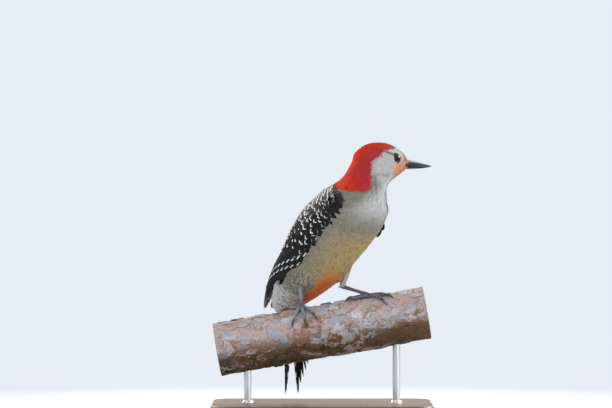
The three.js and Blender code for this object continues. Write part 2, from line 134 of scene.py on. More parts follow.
def loft(table, u, v, out=0.0):
    """The ellipse-like ring of station u at angle v: middle + reach x cos v, half width x sin v."""
    back_f, back_u, belly_f, belly_u, half, turn = np.moveaxis(along(table, u), -1, 0)
    reach_f = (back_f - belly_f) / 2
    reach_u = (back_u - belly_u) / 2
    size = np.hypot(reach_f, reach_u)
    grow = (size + out) / size * np.cos(v)
    forward = (back_f + belly_f) / 2 + reach_f * grow
    up = (back_u + belly_u) / 2 + reach_u * grow
    return bird_point(forward, (half + out) * np.sin(v), up, turn)


print("stations:", len(BODY), "wing stations:", len(WING))

# %% [markdown]
# ## Surfaces that feathers can grow on
# Thousands of feathers ask the same surface for places, so each surface is first written into a fine
# table of places and outward directions, and they read between its entries, as in a height map. Beyond
# its ends the table carries straight on.

# %% Surface tables
def norm(a):
    """The lengths of vectors."""
    return np.linalg.norm(a, axis=-1)


def unit(a):
    """A vector divided by its own length."""
    return a / np.maximum(norm(a)[..., None], 1e-9)


def dot(a, b):
    """The sum of products of two vectors, kept as a column."""
    return np.sum(a * b, axis=-1, keepdims=True)


class Sheet:
    """A surface place(u, v) as a table. The cross product of its two slopes gives the outward directions."""

    def __init__(self, place, u_range, v_range, steps, round_v=False):
        self.u_range = u_range
        self.v_range = v_range
        self.steps = np.array(steps)
        self.round_v = round_v
        self.points = place(*spread(np.linspace(*u_range, steps[0]), np.linspace(*v_range, steps[1])))
        slope_u = np.gradient(self.points, axis=0)
        slope_v = np.gradient(self.points, axis=1)
        if round_v:
            slope_v[:, [0, -1]] = (self.points[:, 1:2] - self.points[:, -2:-1]) / 2
        self.normals = unit(np.cross(slope_u, slope_v))
        self.unit_u = (u_range[1] - u_range[0]) / (steps[0] - 1)
        self.unit_v = (v_range[1] - v_range[0]) / (steps[1] - 1)
        self.slope_u = slope_u / self.unit_u
        self.slope_v = slope_v / self.unit_v

    def read(self, u, v, *tables):
        """Values of the tables at (u, v), mixed straight between the four entries around."""
        if self.round_v:
            v = (v - self.v_range[0]) % (self.v_range[1] - self.v_range[0]) + self.v_range[0]
        a = (u - self.u_range[0]) / self.unit_u
        b = (v - self.v_range[0]) / self.unit_v
        i = np.clip(np.floor(a).astype(int), 0, self.steps[0] - 2)
        j = np.clip(np.floor(b).astype(int), 0, self.steps[1] - 2)
        p = (a - i)[..., None]
        q = (b - j)[..., None]
        found = []
        for t in tables:
            low = t[i, j] * (1 - q) + t[i, j + 1] * q
            high = t[i + 1, j] * (1 - q) + t[i + 1, j + 1] * q
            found.append(low * (1 - p) + high * p)
        return found

    def face_away(self, row, column, inside):
        """Turns the outward directions over if the one at an entry points inside."""
        if np.sum(self.normals[row, column] * (self.points[row, column] - inside)) < 0:
            self.normals *= -1

    def at(self, u, v, height=0.0):
        """The place at (u, v), raised by height along the outward direction."""
        point, normal = self.read(u, v, self.points, self.normals)
        return point + unit(normal) * np.asarray(height)[..., None]


body = Sheet(lambda u, v: loft(BODY, u, v), (0, LAST_ROW), (-math.pi, math.pi), (801, 361), True)
centre = body.points[400].mean(0)
body.face_away(400, 90, centre)
print("body box mm:", body.points.min((0, 1)).round(1), body.points.max((0, 1)).round(1))

# %% [markdown]
# ## From arrays to meshes
# A shape here is a list of points, lists of faces, and named marks that ride on the points. A grid of
# points becomes faces by joining each point to its neighbours. Blender takes whole arrays at once with
# foreach_set, so even a hundred thousand faces take only a moment.

# %% Shapes and pieces
def shape(points, faces, **marks):
    """Points (n, 3) in millimetres, a list of face arrays, and marks with one row per point."""
    return {"points": points.reshape(-1, 3), "faces": faces, "marks": marks}


def joined(shapes):
    """Several shapes as one: their points in a row, their faces shifted to match."""
    shifts = np.cumsum([0] + [len(s["points"]) for s in shapes[:-1]])
    faces = [f + k for s, k in zip(shapes, shifts) for f in s["faces"]]
    marks = {n: np.concatenate([s["marks"][n] for s in shapes]) for n in shapes[0]["marks"]}
    return shape(np.concatenate([s["points"] for s in shapes]), faces, **marks)


def grid_faces(rows, columns, closed=False, ring=False):
    """Four-sided faces of a grid. closed joins its last column to the first, and ring its last row."""
    i = np.arange(rows if ring else rows - 1)[:, None]
    j = np.arange(columns if closed else columns - 1)[None]
    here = i * columns
    above = (i + 1) % rows * columns
    k = (j + 1) % columns
    return stacked(here + j, here + k, above + k, above + j).reshape(-1, 4)


def face_out(made, inside):
    """Turns all the faces over if they look towards the places inside."""
    a, b, c = (made["points"][made["faces"][0][:, k]] for k in range(3))
    if np.sum(np.cross(b - a, c - a) * ((a + b + c) / 3 - inside)) < 0:
        made["faces"] = [f[:, ::-1] for f in made["faces"]]
    return made


def tube_shape(rings, **marks):
    """A closed skin over rings (rows, columns, 3), with a fan of triangles at each end."""
    rows, columns = rings.shape[:2]
    ends = np.stack([rings[0].mean(0), rings[-1].mean(0)])
    points = np.concatenate([rings.reshape(-1, 3), ends])
    j = np.arange(columns)
    k = (j + 1) % columns
    first = stacked(rows * columns, k, j)
    top = (rows - 1) * columns
    last = stacked(rows * columns + 1, top + j, top + k)
    faces = [grid_faces(rows, columns, True), first, last]
    full = {}
    for name, values in marks.items():
        flat = values.reshape(rows * columns, -1)
        full[name] = np.concatenate([flat, flat[:1], flat[-1:]])
    return face_out(shape(points, faces, **full), points.mean(0))


def placed(name, data):
    """A new object in the scene."""
    obj = bpy.data.objects.new(name, data)
    scene.collection.objects.link(obj)
    return obj


materials = {}
SOFTNESS = 0.75
BARRED = "barred_feathers"


def piece(name, made, material, stands_for=()):
    """Puts a shape into one mesh object that rides on the model and stands for the named solids."""
    mesh = bpy.data.meshes.new(name)
    corners = np.concatenate([f.ravel() for f in made["faces"]]).astype(np.int32)
    sizes = np.concatenate([np.full(len(f), f.shape[1]) for f in made["faces"]])
    starts = np.concatenate([[0], np.cumsum(sizes)[:-1]]).astype(np.int32)
    mesh.vertices.add(len(made["points"]))
    mesh.vertices.foreach_set("co", (made["points"] * MM).astype(np.float32).ravel())
    mesh.loops.add(len(corners))
    mesh.loops.foreach_set("vertex_index", corners)
    mesh.polygons.add(len(starts))
    mesh.polygons.foreach_set("loop_start", starts)
    mesh.update(calc_edges=True)
    mesh.polygons.foreach_set("use_smooth", np.ones(len(starts), bool))
    for key, values in made["marks"].items():
        if key == "lie":
            own = np.empty(len(values) * 3, np.float32)
            mesh.vertex_normals.foreach_get("vector", own)
            soft = unit(own.reshape(-1, 3) * (1 - SOFTNESS) + values * SOFTNESS)
            mesh.normals_split_custom_set_from_vertices(soft)
            continue
        if key == "bake":
            layer = mesh.uv_layers.new(name="OFBake")
            layer.uv.foreach_set("vector", values[corners].astype(np.float32).ravel())
            continue
        kind = "VECTOR" if values.shape[1] == 3 else "COLOR"
        mesh.attributes.new(key, "FLOAT_" + kind, "POINT")
        mesh.attributes[key].data.foreach_set(kind.lower(), values.astype(np.float32).ravel())
    mesh.validate()
    obj = placed(name, mesh)
    mesh.materials.append(materials[material])
    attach(obj, "root")
    if stands_for:
        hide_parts(*stands_for)
    print(f"{name}: {int((sizes - 2).sum())} triangles")
    return obj


def smooth(low, high, x):
    """0 below low, 1 above high, and an easy curve between: 3 t squared less 2 t cubed."""
    t = np.clip((x - low) / (high - low), 0, 1)
    return t * t * (3 - 2 * t)


def fade(low, high, x):
    """The same curve downwards, from 1 to 0."""
    return 1 - smooth(low, high, x)


def bell(x, width):
    """1 at x = 0, falling off on both sides: exp(-(x / width) squared)."""
    return np.exp(-((x / width) ** 2))


# %% [markdown]
# ## Markings
# The bird's colours belong to places on its body: a red cap that runs down the nape, an orange flush
# round the bill, pale cheeks, a straw-coloured breast, a red belly, and black and white bars behind.
# Each is a mask from 0 to 1 worked out from the station and the angle round the body. Skin and feathers
# ask the same function, so they agree. The materials later decide the actual colours.
# Some masks are painted light and shade: the dark along the brow, in the cheek crease and round the eye
# stands for shade, and the warmer red on the crown's top and the nape's back stands partly for light.

# %% Masks for the markings
RED_EDGE_ROWS = [3.2, 3.5, 3.9, 4.6, 4.9, 5.9, 6.4, 7.1, 7.5, 8.0, 8.4, 8.75, 8.85]
RED_EDGE_DEGREES = [0, 36, 48, 55, 64, 67, 80, 102, 101, 79, 52, 0, -12]


def degrees_round(v):
    """Degrees from the middle of the back, 0 to 180 on either side."""
    return np.abs(np.degrees((v + math.pi) % (2 * math.pi) - math.pi))


def markings(u, v, chance):
    """Two sets of four masks at station u and angle v. chance (0 to 1) ruffles every border a little."""
    degrees = degrees_round(v)
    ruffle = chance - 0.5
    edge = np.interp(u, RED_EDGE_ROWS, RED_EDGE_DEGREES)
    red = smooth(-3, 3, edge - degrees + 9 * ruffle) * smooth(3.15, 3.5, u + 0.2 * ruffle)
    row = u + 0.4 * ruffle
    near_bill = fade(2.1, 3.3, row + 0.008 * np.abs(degrees - 66))
    chin = smooth(80, 96, degrees) * fade(3.4, 4.7, u + 0.5 * ruffle)
    forehead = fade(28, 50, degrees) * fade(2.9, 3.4, u)
    # Painted light in part: the top of the crown and the back of the nape take the warmer red, partly the
    # cap's own orange-red and partly light on the lit crown and the backlit nape.
    crown = smooth(3.2, 3.8, u) * fade(22, 60, degrees + 20 * ruffle)
    nape = smooth(6.6, 8.2, u + 0.6 * ruffle) * fade(60, 108, degrees + 10 * ruffle)
    ember_and_light = np.maximum(crown, nape) * red
    orange = np.maximum(np.maximum(near_bill * (1 - 0.55 * forehead), 0.8 * chin), ember_and_light)
    face = fade(5.9, 6.9, row) * (1 - 0.35 * smooth(52, 70, degrees))
    throat = smooth(98, 140, degrees + 5 * ruffle) * fade(7.4, 9.4, row)
    vent = smooth(12.9, 13.6, u + 0.3 * ruffle)
    pale = np.maximum(np.maximum(face, throat), 0.85 * vent)
    # Painted shade: the dark along the brow, in the crease below the cheek and round the eye's socket stands
    # for shade in the folds of the coat.
    brow_shade_at = np.interp(u, [3.6, 4.0, 4.5, 5.0], [68, 65, 56, 50])
    brow_shade = bell(degrees - brow_shade_at, 5) * smooth(3.4, 3.7, u) * fade(4.3, 5.0, u)
    eye_gap = np.hypot((u - 3.5) * 9.5, (degrees - 74) * 0.22)
    socket = fade(2.9, 4.0, eye_gap + 0.8 * ruffle)
    crease_shade_at = np.interp(u, [4.7, 5.3, 6.2, 6.7, 7.3, 7.8], [121, 112, 90, 104, 128, 145])
    crease_shade = bell(degrees - crease_shade_at, 4.5) * smooth(4.6, 5.0, u) * fade(7.4, 8.0, u)
    dark = np.clip(0.8 * brow_shade + 0.3 * crease_shade + 0.7 * socket, 0, 1)
    straw = smooth(8.8, 10.4, u) * fade(12.0, 13.2, u) * smooth(92, 165, degrees)
    middle = smooth(140, 163, degrees + 10 * ruffle)
    belly = middle * smooth(11.2, 12.4, row) * fade(13.5, 14.2, u)
    back = fade(62, 74, degrees + 10 * ruffle) * smooth(8.45, 8.75, u + 0.2 * ruffle)
    flank = smooth(88, 98, degrees) * fade(138, 150, degrees) * smooth(11.9, 12.6, u)
    barred = np.maximum(back, np.maximum(flank * 0.8, vent))
    black_edge = np.interp(u, [8.2, 8.4, 8.65, 9.0, 9.5, 10.0], [72, 92, 100, 101, 88, 68])
    black = fade(-4, 4, degrees - black_edge + 8 * ruffle) * smooth(8.2, 8.4, u + 0.2 * ruffle)
    black = black * fade(12.4, 13.2, u)
    return stacked(red, orange, pale, dark), stacked(straw, belly, barred, black)


sample = markings(np.array([4.5, 7.0]), np.radians([20.0, 130.0]), 0.5)[0]
print("red, orange, pale, dark on crown and throat:", sample.round(2).tolist())

# %% [markdown]
# ## Node helpers
# Materials are built as node trees, and small helpers keep that readable: one adds a node and fills or
# links its inputs, another starts a node group with named inputs and outputs. A group is Blender's way
# to write an effect once and use it in many materials.

# %% Node helpers
def node(tree, kind, inputs=None, **settings):
    """Adds a node, sets its options, then writes or links each input."""
    made = tree.nodes.new("ShaderNode" + kind)
    for key, value in settings.items():
        setattr(made, key, value)
    for key, value in (inputs or {}).items():
        socket = made.inputs[key]
        if isinstance(value, bpy.types.NodeSocket):
            tree.links.new(value, socket)
        else:
            socket.default_value = value
    return made


def calc(tree, operation, *values):
    """One Math node's result."""
    return node(tree, "Math", dict(enumerate(values)), operation=operation).outputs[0]


def times(tree, first, second):
    """One value times another."""
    return calc(tree, "MULTIPLY", first, second)


def scaled(tree, value, factor, added):
    """value x factor + added."""
    return calc(tree, "MULTIPLY_ADD", value, factor, added)


def split(tree, colour):
    """The three parts of a colour."""
    return node(tree, "SeparateColor", {"Color": colour}).outputs


def read_mark(tree, name):
    """The outputs that read one of the mesh's named marks."""
    return node(tree, "Attribute", attribute_name=name).outputs


def step_mask(tree, value, low, high, inverse=False):
    """An easy ramp from 0 at low to 1 at high, or the other way round."""
    ends = {"From Min": low, "From Max": high, "To Min": float(inverse), "To Max": float(not inverse)}
    made = node(tree, "MapRange", {"Value": value, **ends}, interpolation_type="SMOOTHSTEP")
    return made.outputs["Result"]


def blend(tree, factor, first, second):
    """Mixes two colours."""
    made = node(tree, "Mix", {0: factor, 6: first, 7: second}, data_type="RGBA")
    return made.outputs[2]


def lit(tree, colour, value):
    """A colour made lighter or darker by a factor."""
    return node(tree, "HueSaturation", {"Color": colour, "Value": value}).outputs[0]


def noise(tree, scale, detail=3.0, roughness=0.5, stretch=None):
    """A noise pattern from 0 to 1 over the object's coordinates; scale is in bumps per metre."""
    where = node(tree, "TexCoord").outputs["Object"]
    if stretch:
        where = node(tree, "Mapping", {"Vector": where, "Scale": stretch}).outputs[0]
    made = node(tree, "TexNoise", {"Vector": where, "Scale": scale, "Detail": detail, "Roughness": roughness})
    return made.outputs["Fac"]


def new_group(name, inputs):
    """A feather effect as a node group that gives a colour, a height and a roughness. One number makes a
    Float input, three a Vector and four a Color."""
    tree = bpy.data.node_groups.new(name, "ShaderNodeTree")
    for title, value in inputs.items():
        kind = "Float" if isinstance(value, float) else {3: "Vector", 4: "Color"}[len(value)]
        socket = tree.interface.new_socket(name=title, in_out="INPUT", socket_type="NodeSocket" + kind)
        socket.default_value = value
    for title, kind in (("Color", "Color"), ("Height", "Float"), ("Roughness", "Float")):
        tree.interface.new_socket(name=title, in_out="OUTPUT", socket_type="NodeSocket" + kind)
    start = tree.nodes.new("NodeGroupInput").outputs
    end = tree.nodes.new("NodeGroupOutput").inputs
    return tree, start, end


def new_material(name, **plain):
    """A material with a Principled shader, whose plain values stay on its own sockets."""
    made = bpy.data.materials.new(name)
    made.use_nodes = True
    tree = made.node_tree
    shader = tree.nodes["Principled BSDF"]
    for key, value in plain.items():
        shader.inputs[key.replace("_", " ").title().replace("Ior", "IOR")].default_value = value
    materials[name] = made
    return tree, shader


def outward(tree):
    """The mesh's own outward direction on both faces of a thin vane, so that its underside is not black."""
    seen = node(tree, "NewGeometry").outputs
    sign = scaled(tree, seen["Backfacing"], -2.0, 1.0)
    return node(tree, "VectorMath", {0: seen["Normal"], "Scale": sign}, operation="SCALE").outputs[0]


def dress(tree, shader, colour, roughness=None, height=None, strength=0.3, distance=0.0001, **facing):
    """Links a colour to the shader, and a roughness and a height if they are given. The height goes
    through a Bump node, whose distance is its depth in metres."""
    tree.links.new(colour, shader.inputs["Base Color"])
    if roughness is not None:
        tree.links.new(roughness, shader.inputs["Roughness"])
    if height is not None:
        bump = node(tree, "Bump", {"Height": height, "Strength": strength, "Distance": distance, **facing})
        tree.links.new(bump.outputs["Normal"], shader.inputs["Normal"])


def feathered(tree, shader, group, inputs, strength):
    """Dresses a shader with a feather group's colour, roughness and height."""
    out = node(tree, "Group", inputs, node_tree=group).outputs
    facing = {"Normal": outward(tree)}
    dress(tree, shader, out["Color"], out["Roughness"], out["Height"], strength, 0.0002, **facing)


def rgb(red, green, blue):
    """A colour with full cover."""
    return (red, green, blue, 1.0)


# %% [markdown]
# ## Plumage as one effect
# Skin and small feathers share one effect: start from grey-buff, lay the straw, pale, orange, belly, red
# and black areas over it by their masks, and break it up with a tone for each feather, a soft mottle,
# and fine lines where barbs lie side by side. The colours are inputs, so another bird needs only other
# values.

# %% Plumage group
COLOURS = {
    "Buff": rgb(0.215, 0.198, 0.165),
    "Straw": rgb(0.40, 0.30, 0.125),
    "Pale": rgb(0.66, 0.65, 0.63),
    "Orange": rgb(0.82, 0.29, 0.12),
    "Belly": rgb(0.60, 0.13, 0.03),
    "Red": rgb(0.36, 0.032, 0.036),
    # the cap's warmer red, which also stands for painted light on the top of the crown and the backlit nape
    "Ember And Light": rgb(0.66, 0.03, 0.008),
    "Dark": rgb(0.028, 0.023, 0.02),
    "White": rgb(0.72, 0.71, 0.69),
}
group_inputs = {
    "Face Marks": rgb(0, 0, 0),
    "Face Dark And Shade": 0.0,
    "Body Marks": rgb(0, 0, 0),
    "Black": 0.0,
    "Vane": (0, 0, 0),
}
tree, start, end = new_group("Plumage", {**group_inputs, **COLOURS})
mottle = noise(tree, 260.0, 4.0, 0.6)
cloud = noise(tree, 70.0, 2.0, 0.5)
face = split(tree, start["Face Marks"])
trunk = split(tree, start["Body Marks"])
parts = node(tree, "SeparateXYZ", {"Vector": start["Vane"]}).outputs
across = calc(tree, "ABSOLUTE", parts["X"])
areas = {"Straw": trunk["Red"], "Pale": face["Blue"], "Orange": face["Green"], "Belly": trunk["Green"]}
shade = start["Buff"]
for colour, mask in areas.items():
    shade = blend(tree, mask, shade, start[colour])
# where the orange mask holds the crown's top and the nape, this warmer red is partly painted light
warm_red = blend(tree, face["Green"], start["Red"], start["Ember And Light"])
shade = blend(tree, face["Red"], shade, warm_red)
light = calc(tree, "ADD", times(tree, mottle, 0.5), times(tree, cloud, 0.5))
light = scaled(tree, light, 0.55, 0.725)
light = times(tree, light, scaled(tree, parts["Z"], 0.24, 0.88))
barb_place = scaled(tree, across, 0.8, parts["Y"])
barb_line = calc(tree, "SINE", times(tree, barb_place, 14.0))
light = times(tree, light, scaled(tree, barb_line, 0.06, 1.0))
toned = lit(tree, shade, light)
# The face's dark mask carries painted shade from the face and the thighs' real dark streaks; with the back's
# real black it turns the colour to Dark.
black_and_shade = calc(tree, "MAXIMUM", start["Face Dark And Shade"], start["Black"])
toned = blend(tree, black_and_shade, toned, start["Dark"])
bar_place = scaled(tree, across, -0.35, parts["Y"])
bar_place = calc(tree, "ADD", bar_place, scaled(tree, parts["Z"], 0.8, 3.3))
white_bar = step_mask(tree, calc(tree, "PINGPONG", bar_place, 2.5), 0.45, 0.7, True)
barred = times(tree, trunk["Blue"], white_bar)
on_black = times(tree, barred, start["Black"])
toned = blend(tree, on_black, toned, start["White"])
on_pale = times(tree, barred, calc(tree, "SUBTRACT", 1.0, start["Black"]))
clusters = step_mask(tree, cloud, 0.42, 0.56)
on_pale = times(tree, on_pale, scaled(tree, clusters, 0.6, 0.15))
toned = blend(tree, on_pale, toned, start["Dark"])
tree.links.new(toned, end["Color"])
tree.links.new(calc(tree, "ADD", times(tree, barb_line, 0.5), mottle), end["Height"])
tree.links.new(scaled(tree, mottle, 0.2, 0.62), end["Roughness"])
plumage = tree


def plumage_material(title):
    """A feather material: the Plumage group reading the piece's own marks."""
    tree, shader = new_material(title, specular_ior_level=0.08)
    names = ("face_marks", "body_marks", "vane")
    face_marks, body_marks, vane_marks = (read_mark(tree, name) for name in names)
    marks = {
        "Face Marks": face_marks["Color"],
        "Face Dark And Shade": face_marks["Alpha"],
        "Body Marks": body_marks["Color"],
        "Black": body_marks["Alpha"],
        "Vane": vane_marks["Vector"],
    }
    feathered(tree, shader, plumage, marks, 0.35)


for name in ("skin", "soft_feathers", "mantle_feathers"):
    plumage_material(name)

# %% [markdown]
# ## Bars and spots on wing feathers
# Most coverts are black with a white chevron near the end, and the long feathers carry white bars broken
# at the shaft. Both are one drawing in the feather's own measures: how far across from the shaft, and how
# far up from the tip. A repeat of those distances gives the bars.

# %% Wing pattern group
bar_inputs = {
    "Vane": (0, 0, 0),
    "Amount": 1.0,
    "Period": 6.0,
    "Width": 2.0,
    "First": 1.5,
    "Slant": 0.45,
    "Curve": 0.0,
    "Skew": 0.0,
    "Limit": 100.0,
    "Shaft Gap": 0.3,
    "Reach": 50.0,
    "Ground": rgb(0.010, 0.009, 0.009),
    "Mark": rgb(0.78, 0.78, 0.77),
    "Tip": rgb(0.13, 0.125, 0.13),
    "Tip Length": 0.0,
}
tree, start, end = new_group("Wing Marks", bar_inputs)
mottle = noise(tree, 420.0, 3.0, 0.6)
parts = node(tree, "SeparateXYZ", {"Vector": start["Vane"]}).outputs
across = calc(tree, "ABSOLUTE", parts["X"])
lean = scaled(tree, across, start["Curve"], start["Slant"])
skew = calc(tree, "SUBTRACT", calc(tree, "FRACT", times(tree, parts["Z"], 7.3)), 0.5)
tilted = scaled(tree, parts["X"], times(tree, skew, start["Skew"]), parts["Y"])
up = calc(tree, "SUBTRACT", tilted, times(tree, across, lean))
wobble = scaled(tree, mottle, 0.9, times(tree, parts["Z"], 0.5))
up = calc(tree, "SUBTRACT", calc(tree, "SUBTRACT", up, start["First"]), calc(tree, "SUBTRACT", wobble, 0.7))
half_period = times(tree, start["Period"], 0.5)
apart = calc(tree, "PINGPONG", calc(tree, "ADD", up, times(tree, start["Period"], 50.0)), half_period)
edge = times(tree, start["Width"], 0.5)
bars = step_mask(tree, calc(tree, "SUBTRACT", apart, edge), -0.14, 0.14, True)
limit = step_mask(tree, calc(tree, "SUBTRACT", parts["Y"], start["Limit"]), -0.2, 0.2, True)
shaft = step_mask(tree, calc(tree, "SUBTRACT", across, start["Shaft Gap"]), -0.1, 0.12)
aside = calc(tree, "SUBTRACT", across, scaled(tree, parts["Z"], 0.8, start["Reach"]))
inside = step_mask(tree, aside, -0.7, 0.0, True)
mask = times(tree, times(tree, bars, limit), shaft)
mask = times(tree, times(tree, mask, inside), start["Amount"])
barb_place = scaled(tree, across, 0.8, parts["Y"])
barb_line = calc(tree, "SINE", times(tree, barb_place, 14.0))
tip_mask = calc(tree, "DIVIDE", parts["Y"], calc(tree, "MAXIMUM", start["Tip Length"], 0.01))
ground = blend(tree, step_mask(tree, tip_mask, 0.2, 1.0, True), start["Ground"], start["Tip"])
light = times(tree, scaled(tree, mottle, 0.6, 0.7), scaled(tree, barb_line, 0.08, 1.0))
ground = lit(tree, ground, light)
drawn = blend(tree, mask, ground, start["Mark"])
tree.links.new(drawn, end["Color"])
tree.links.new(calc(tree, "ADD", barb_line, mottle), end["Height"])
tree.links.new(scaled(tree, mottle, 0.25, 0.36), end["Roughness"])
wing_marks = tree


def wing_material(name, **values):
    """A wing or tail feather material: the Wing Marks group with this feather's own bars."""
    tree, shader = new_material(name, specular_ior_level=0.12)
    vane_marks = read_mark(tree, "vane")
    amount = read_mark(tree, "pattern")
    named = {key.replace("_", " ").title(): value for key, value in values.items()}
    marks = {"Vane": vane_marks["Vector"], "Amount": amount["Fac"]}
    feathered(tree, shader, wing_marks, {**marks, **named}, 0.3)


wing_material("coverts", period=60.0, width=1.0, first=1.0, slant=0.5, curve=0.06, skew=0.7, limit=4.0,
              shaft_gap=0.0, reach=1.7)
wing_material("scapulars", period=6.0, width=1.15, first=1.9, slant=0.1, limit=60.0, shaft_gap=0.2, reach=2.6)
wing_material("inner_quills", period=8.5, width=3.2, first=3.0, slant=1.0, limit=18.0, shaft_gap=2.7)
wing_material("tertials", period=5.4, width=1.7, first=2.2, slant=0.8, limit=40.0, shaft_gap=0.4)
wing_material("outer_quills", period=60.0, width=0.9, first=0.5, slant=0.0, limit=2.0, shaft_gap=0.0,
              tip_length=15.0)
wing_material("tail_quills", period=6.4, width=2.6, first=30.0, slant=0.4, limit=70.0, shaft_gap=0.5)
print("materials so far:", sorted(materials))

# %% [markdown]
# ## A feather as a few dozen triangles
# A feather is a shaft with a web of barbs on either side, whose edge splits into points, so it is drawn
# as notches and tips rather than a smooth oval. One such pattern is worked out flat, in half widths and
# lengths, and laid out thousands of times. It bends with the body under it, rises from root to tip, and
# drops at its sides, so that each feather lies on the next like a roof tile.

# %% Feather pattern
def vane(barbs, root=0.3, web=0.62, slope=0.5, blunt=1.6, seed=1):
    """Points (across, along) and triangles of one vane.
    Half width at t is the square root of sin(pi x t to the power blunt). Each barb is three triangles:
    from the shaft to a notch at web of that width, to its own tip, and to the next notch."""
    rng = default_rng(seed)
    last = 0.97 - 0.16 * slope
    stations = np.concatenate([[0.0], root + (last - root) * np.arange(barbs + 1) / barbs])
    wide = np.sqrt(np.clip(np.sin(math.pi * stations**blunt), 0.02, 1))
    middles = (stations[1:] + stations[:-1]) / 2
    tip_wide = np.sqrt(np.clip(np.sin(math.pi * middles**blunt), 0.03, 1))
    n = len(stations)
    shaft = stacked(0.0, stations)
    sides = []
    for side in (1, -1):
        notch = stacked(side * web * wide, stations + slope * 0.3 * web * wide)
        ragged = rng.uniform(0.86, 1.06, n - 1)
        tips = stacked(side * tip_wide * ragged, middles + slope * 0.3 * tip_wide * 1.35)
        sides.append((notch, tips))
    end = np.array([[0.0, 1.02]])
    places = np.concatenate([shaft, sides[0][0], sides[0][1], sides[1][0], sides[1][1], end])
    places[:, 1] = np.minimum(places[:, 1], 1.06 - 0.16 * places[:, 0] ** 2)
    i = np.arange(n - 1)
    triangles = []
    for side, notch_at, tip_at in ((1, n, 2 * n), (-1, 3 * n - 1, 4 * n - 1)):
        notch = notch_at + i
        fan = [stacked(i, notch, tip_at + i), stacked(i, tip_at + i, notch + 1), stacked(i, notch + 1, i + 1)]
        fan = np.concatenate([*fan, [[n - 1, notch_at + n - 1, len(places) - 1]]])
        triangles.append(fan if side > 0 else fan[:, ::-1])
    return places, np.concatenate(triangles)


def scatter(sheet, u_range, v_range, spacing, seed=0.0):
    """Roots spread evenly over part of a sheet.
    Number k of an endless even sequence gives a place and a third number; it is kept where that number is
    below the ground's area there over the area one feather may have. A last nudge breaks up the lines."""
    span_u = u_range[1] - u_range[0]
    span_v = v_range[1] - v_range[0]
    trial_u = u_range[0] + span_u * (np.arange(24) + 0.5) / 24
    trial_v = v_range[0] + span_v * (np.arange(48) + 0.5) / 48

    def crowd(u, v):
        slope_u, slope_v = sheet.read(u, v, sheet.slope_u, sheet.slope_v)
        area = norm(np.cross(slope_u, slope_v))
        return area / (0.8 * spacing(u) ** 2)

    most = crowd(*spread(trial_u, trial_v)).max() * 1.05
    k = np.arange(1, int(most * span_u * span_v) + 1)[:, None]
    numbers = (seed + k * np.array([0.8191725, 0.6710436, 0.5497005])) % 1
    u = u_range[0] + span_u * numbers[:, 0]
    v = v_range[0] + span_v * numbers[:, 1]
    kept = numbers[:, 2] * most < crowd(u, v)
    u, v = u[kept], v[kept]
    rng = default_rng(int(seed * 1000) + 1)
    slope_u, slope_v = sheet.read(u, v, sheet.slope_u, sheet.slope_v)
    nudge = 0.42 * spacing(u)[:, None] * rng.standard_normal((len(u), 2))
    u = np.clip(u + nudge[:, 0] / norm(slope_u), *u_range)
    v = v + nudge[:, 1] / np.maximum(norm(slope_v), 1.0)
    return u, v


def patch_map(u, v, places, size, box):
    """A small patch of the bake's map for each feather, at its root's place on the unwrapped surface."""
    low = np.array([box[0], box[2]])
    span = np.array([box[1] - box[0], box[3] - box[2]])
    root = 0.02 + 0.96 * (stacked(u, v) - low) / span
    inner = stacked(places[:, 1] - 0.5, places[:, 0] * 0.5) * size
    return (root[:, None] + inner[None]).reshape(-1, 2)


def lay(sheet, u, v, pattern, length, width, low, high, rng,
        cup=0.12, yaw=0.0, wild=0.12, straight=0.0, patch=0.003):
    """Lays one feather per root. Across and along become steps in u and v by the sheet's two slopes.
    Height is low at the root and high at the tip, less cup x (across squared)."""
    places, triangles = pattern
    n = len(u)
    slope_u, slope_v = sheet.read(u, v, sheet.slope_u, sheet.slope_v)
    point, normal = sheet.read(u, v, sheet.points, sheet.normals)
    normal = unit(normal)
    back = unit(slope_u - dot(slope_u, normal) * normal)
    angle = (yaw + wild * rng.standard_normal(n))[:, None]
    side = np.cross(back, normal)
    ahead = back * np.cos(angle) + side * np.sin(angle)
    side = np.cross(ahead, normal)
    x = places[None, :, 0] * (width / 2)[:, None]
    y = places[None, :, 1] * length[:, None]
    x = x + 0.02 * width[:, None] * rng.standard_normal((n, len(places)))
    step = x[..., None] * side[:, None] + y[..., None] * ahead[:, None]
    uu = dot(slope_u, slope_u)
    uv = dot(slope_u, slope_v)
    vv = dot(slope_v, slope_v)
    along_u = np.sum(step * slope_u[:, None], -1)
    along_v = np.sum(step * slope_v[:, None], -1)
    whole = np.maximum(uu * vv - uv * uv, 1e-6)
    du = (along_u * vv - along_v * uv) / whole
    dv = (along_v * uu - along_u * uv) / whole
    t = places[None, :, 1]
    hollow = cup * width[:, None] * 0.2 * places[None, :, 0] ** 2
    height = low[:, None] + (high - low)[:, None] * t**0.8 - hollow
    base, lie = sheet.read(u[:, None] + du, v[:, None] + dv, sheet.points, sheet.normals)
    lie = unit(lie)
    bent = base + lie * height[..., None]
    flat = point[:, None] + step + normal[:, None] * height[..., None]
    mixed = bent + (flat - bent) * straight
    chance = rng.random(n)
    over = stacked(x, length[:, None] - y, chance[:, None])
    faces = (triangles[None] + np.arange(n)[:, None, None] * len(places)).reshape(-1, 3)
    box = (u.min(), u.max() + 1e-6, v.min(), v.max() + 1e-6)
    made = shape(mixed, [faces], vane=over.reshape(-1, 3), bake=patch_map(u, v, places, patch, box))
    made["marks"]["lie"] = lie.reshape(-1, 3)
    return made, (u[:, None] + du).ravel(), (v[:, None] + dv).ravel(), np.repeat(chance, len(places))


print("triangles in a six-barb vane:", len(vane(6)[1]))

# %% [markdown]
# ## Where the wings lie
# The folded wing is a second surface over the back and flank. Its upper and lower edges are angles round
# the body at a few rows. The left wing hangs a little lower and looser, as a resting bird's may. The
# edges also tell the body coat where no feather would be seen.

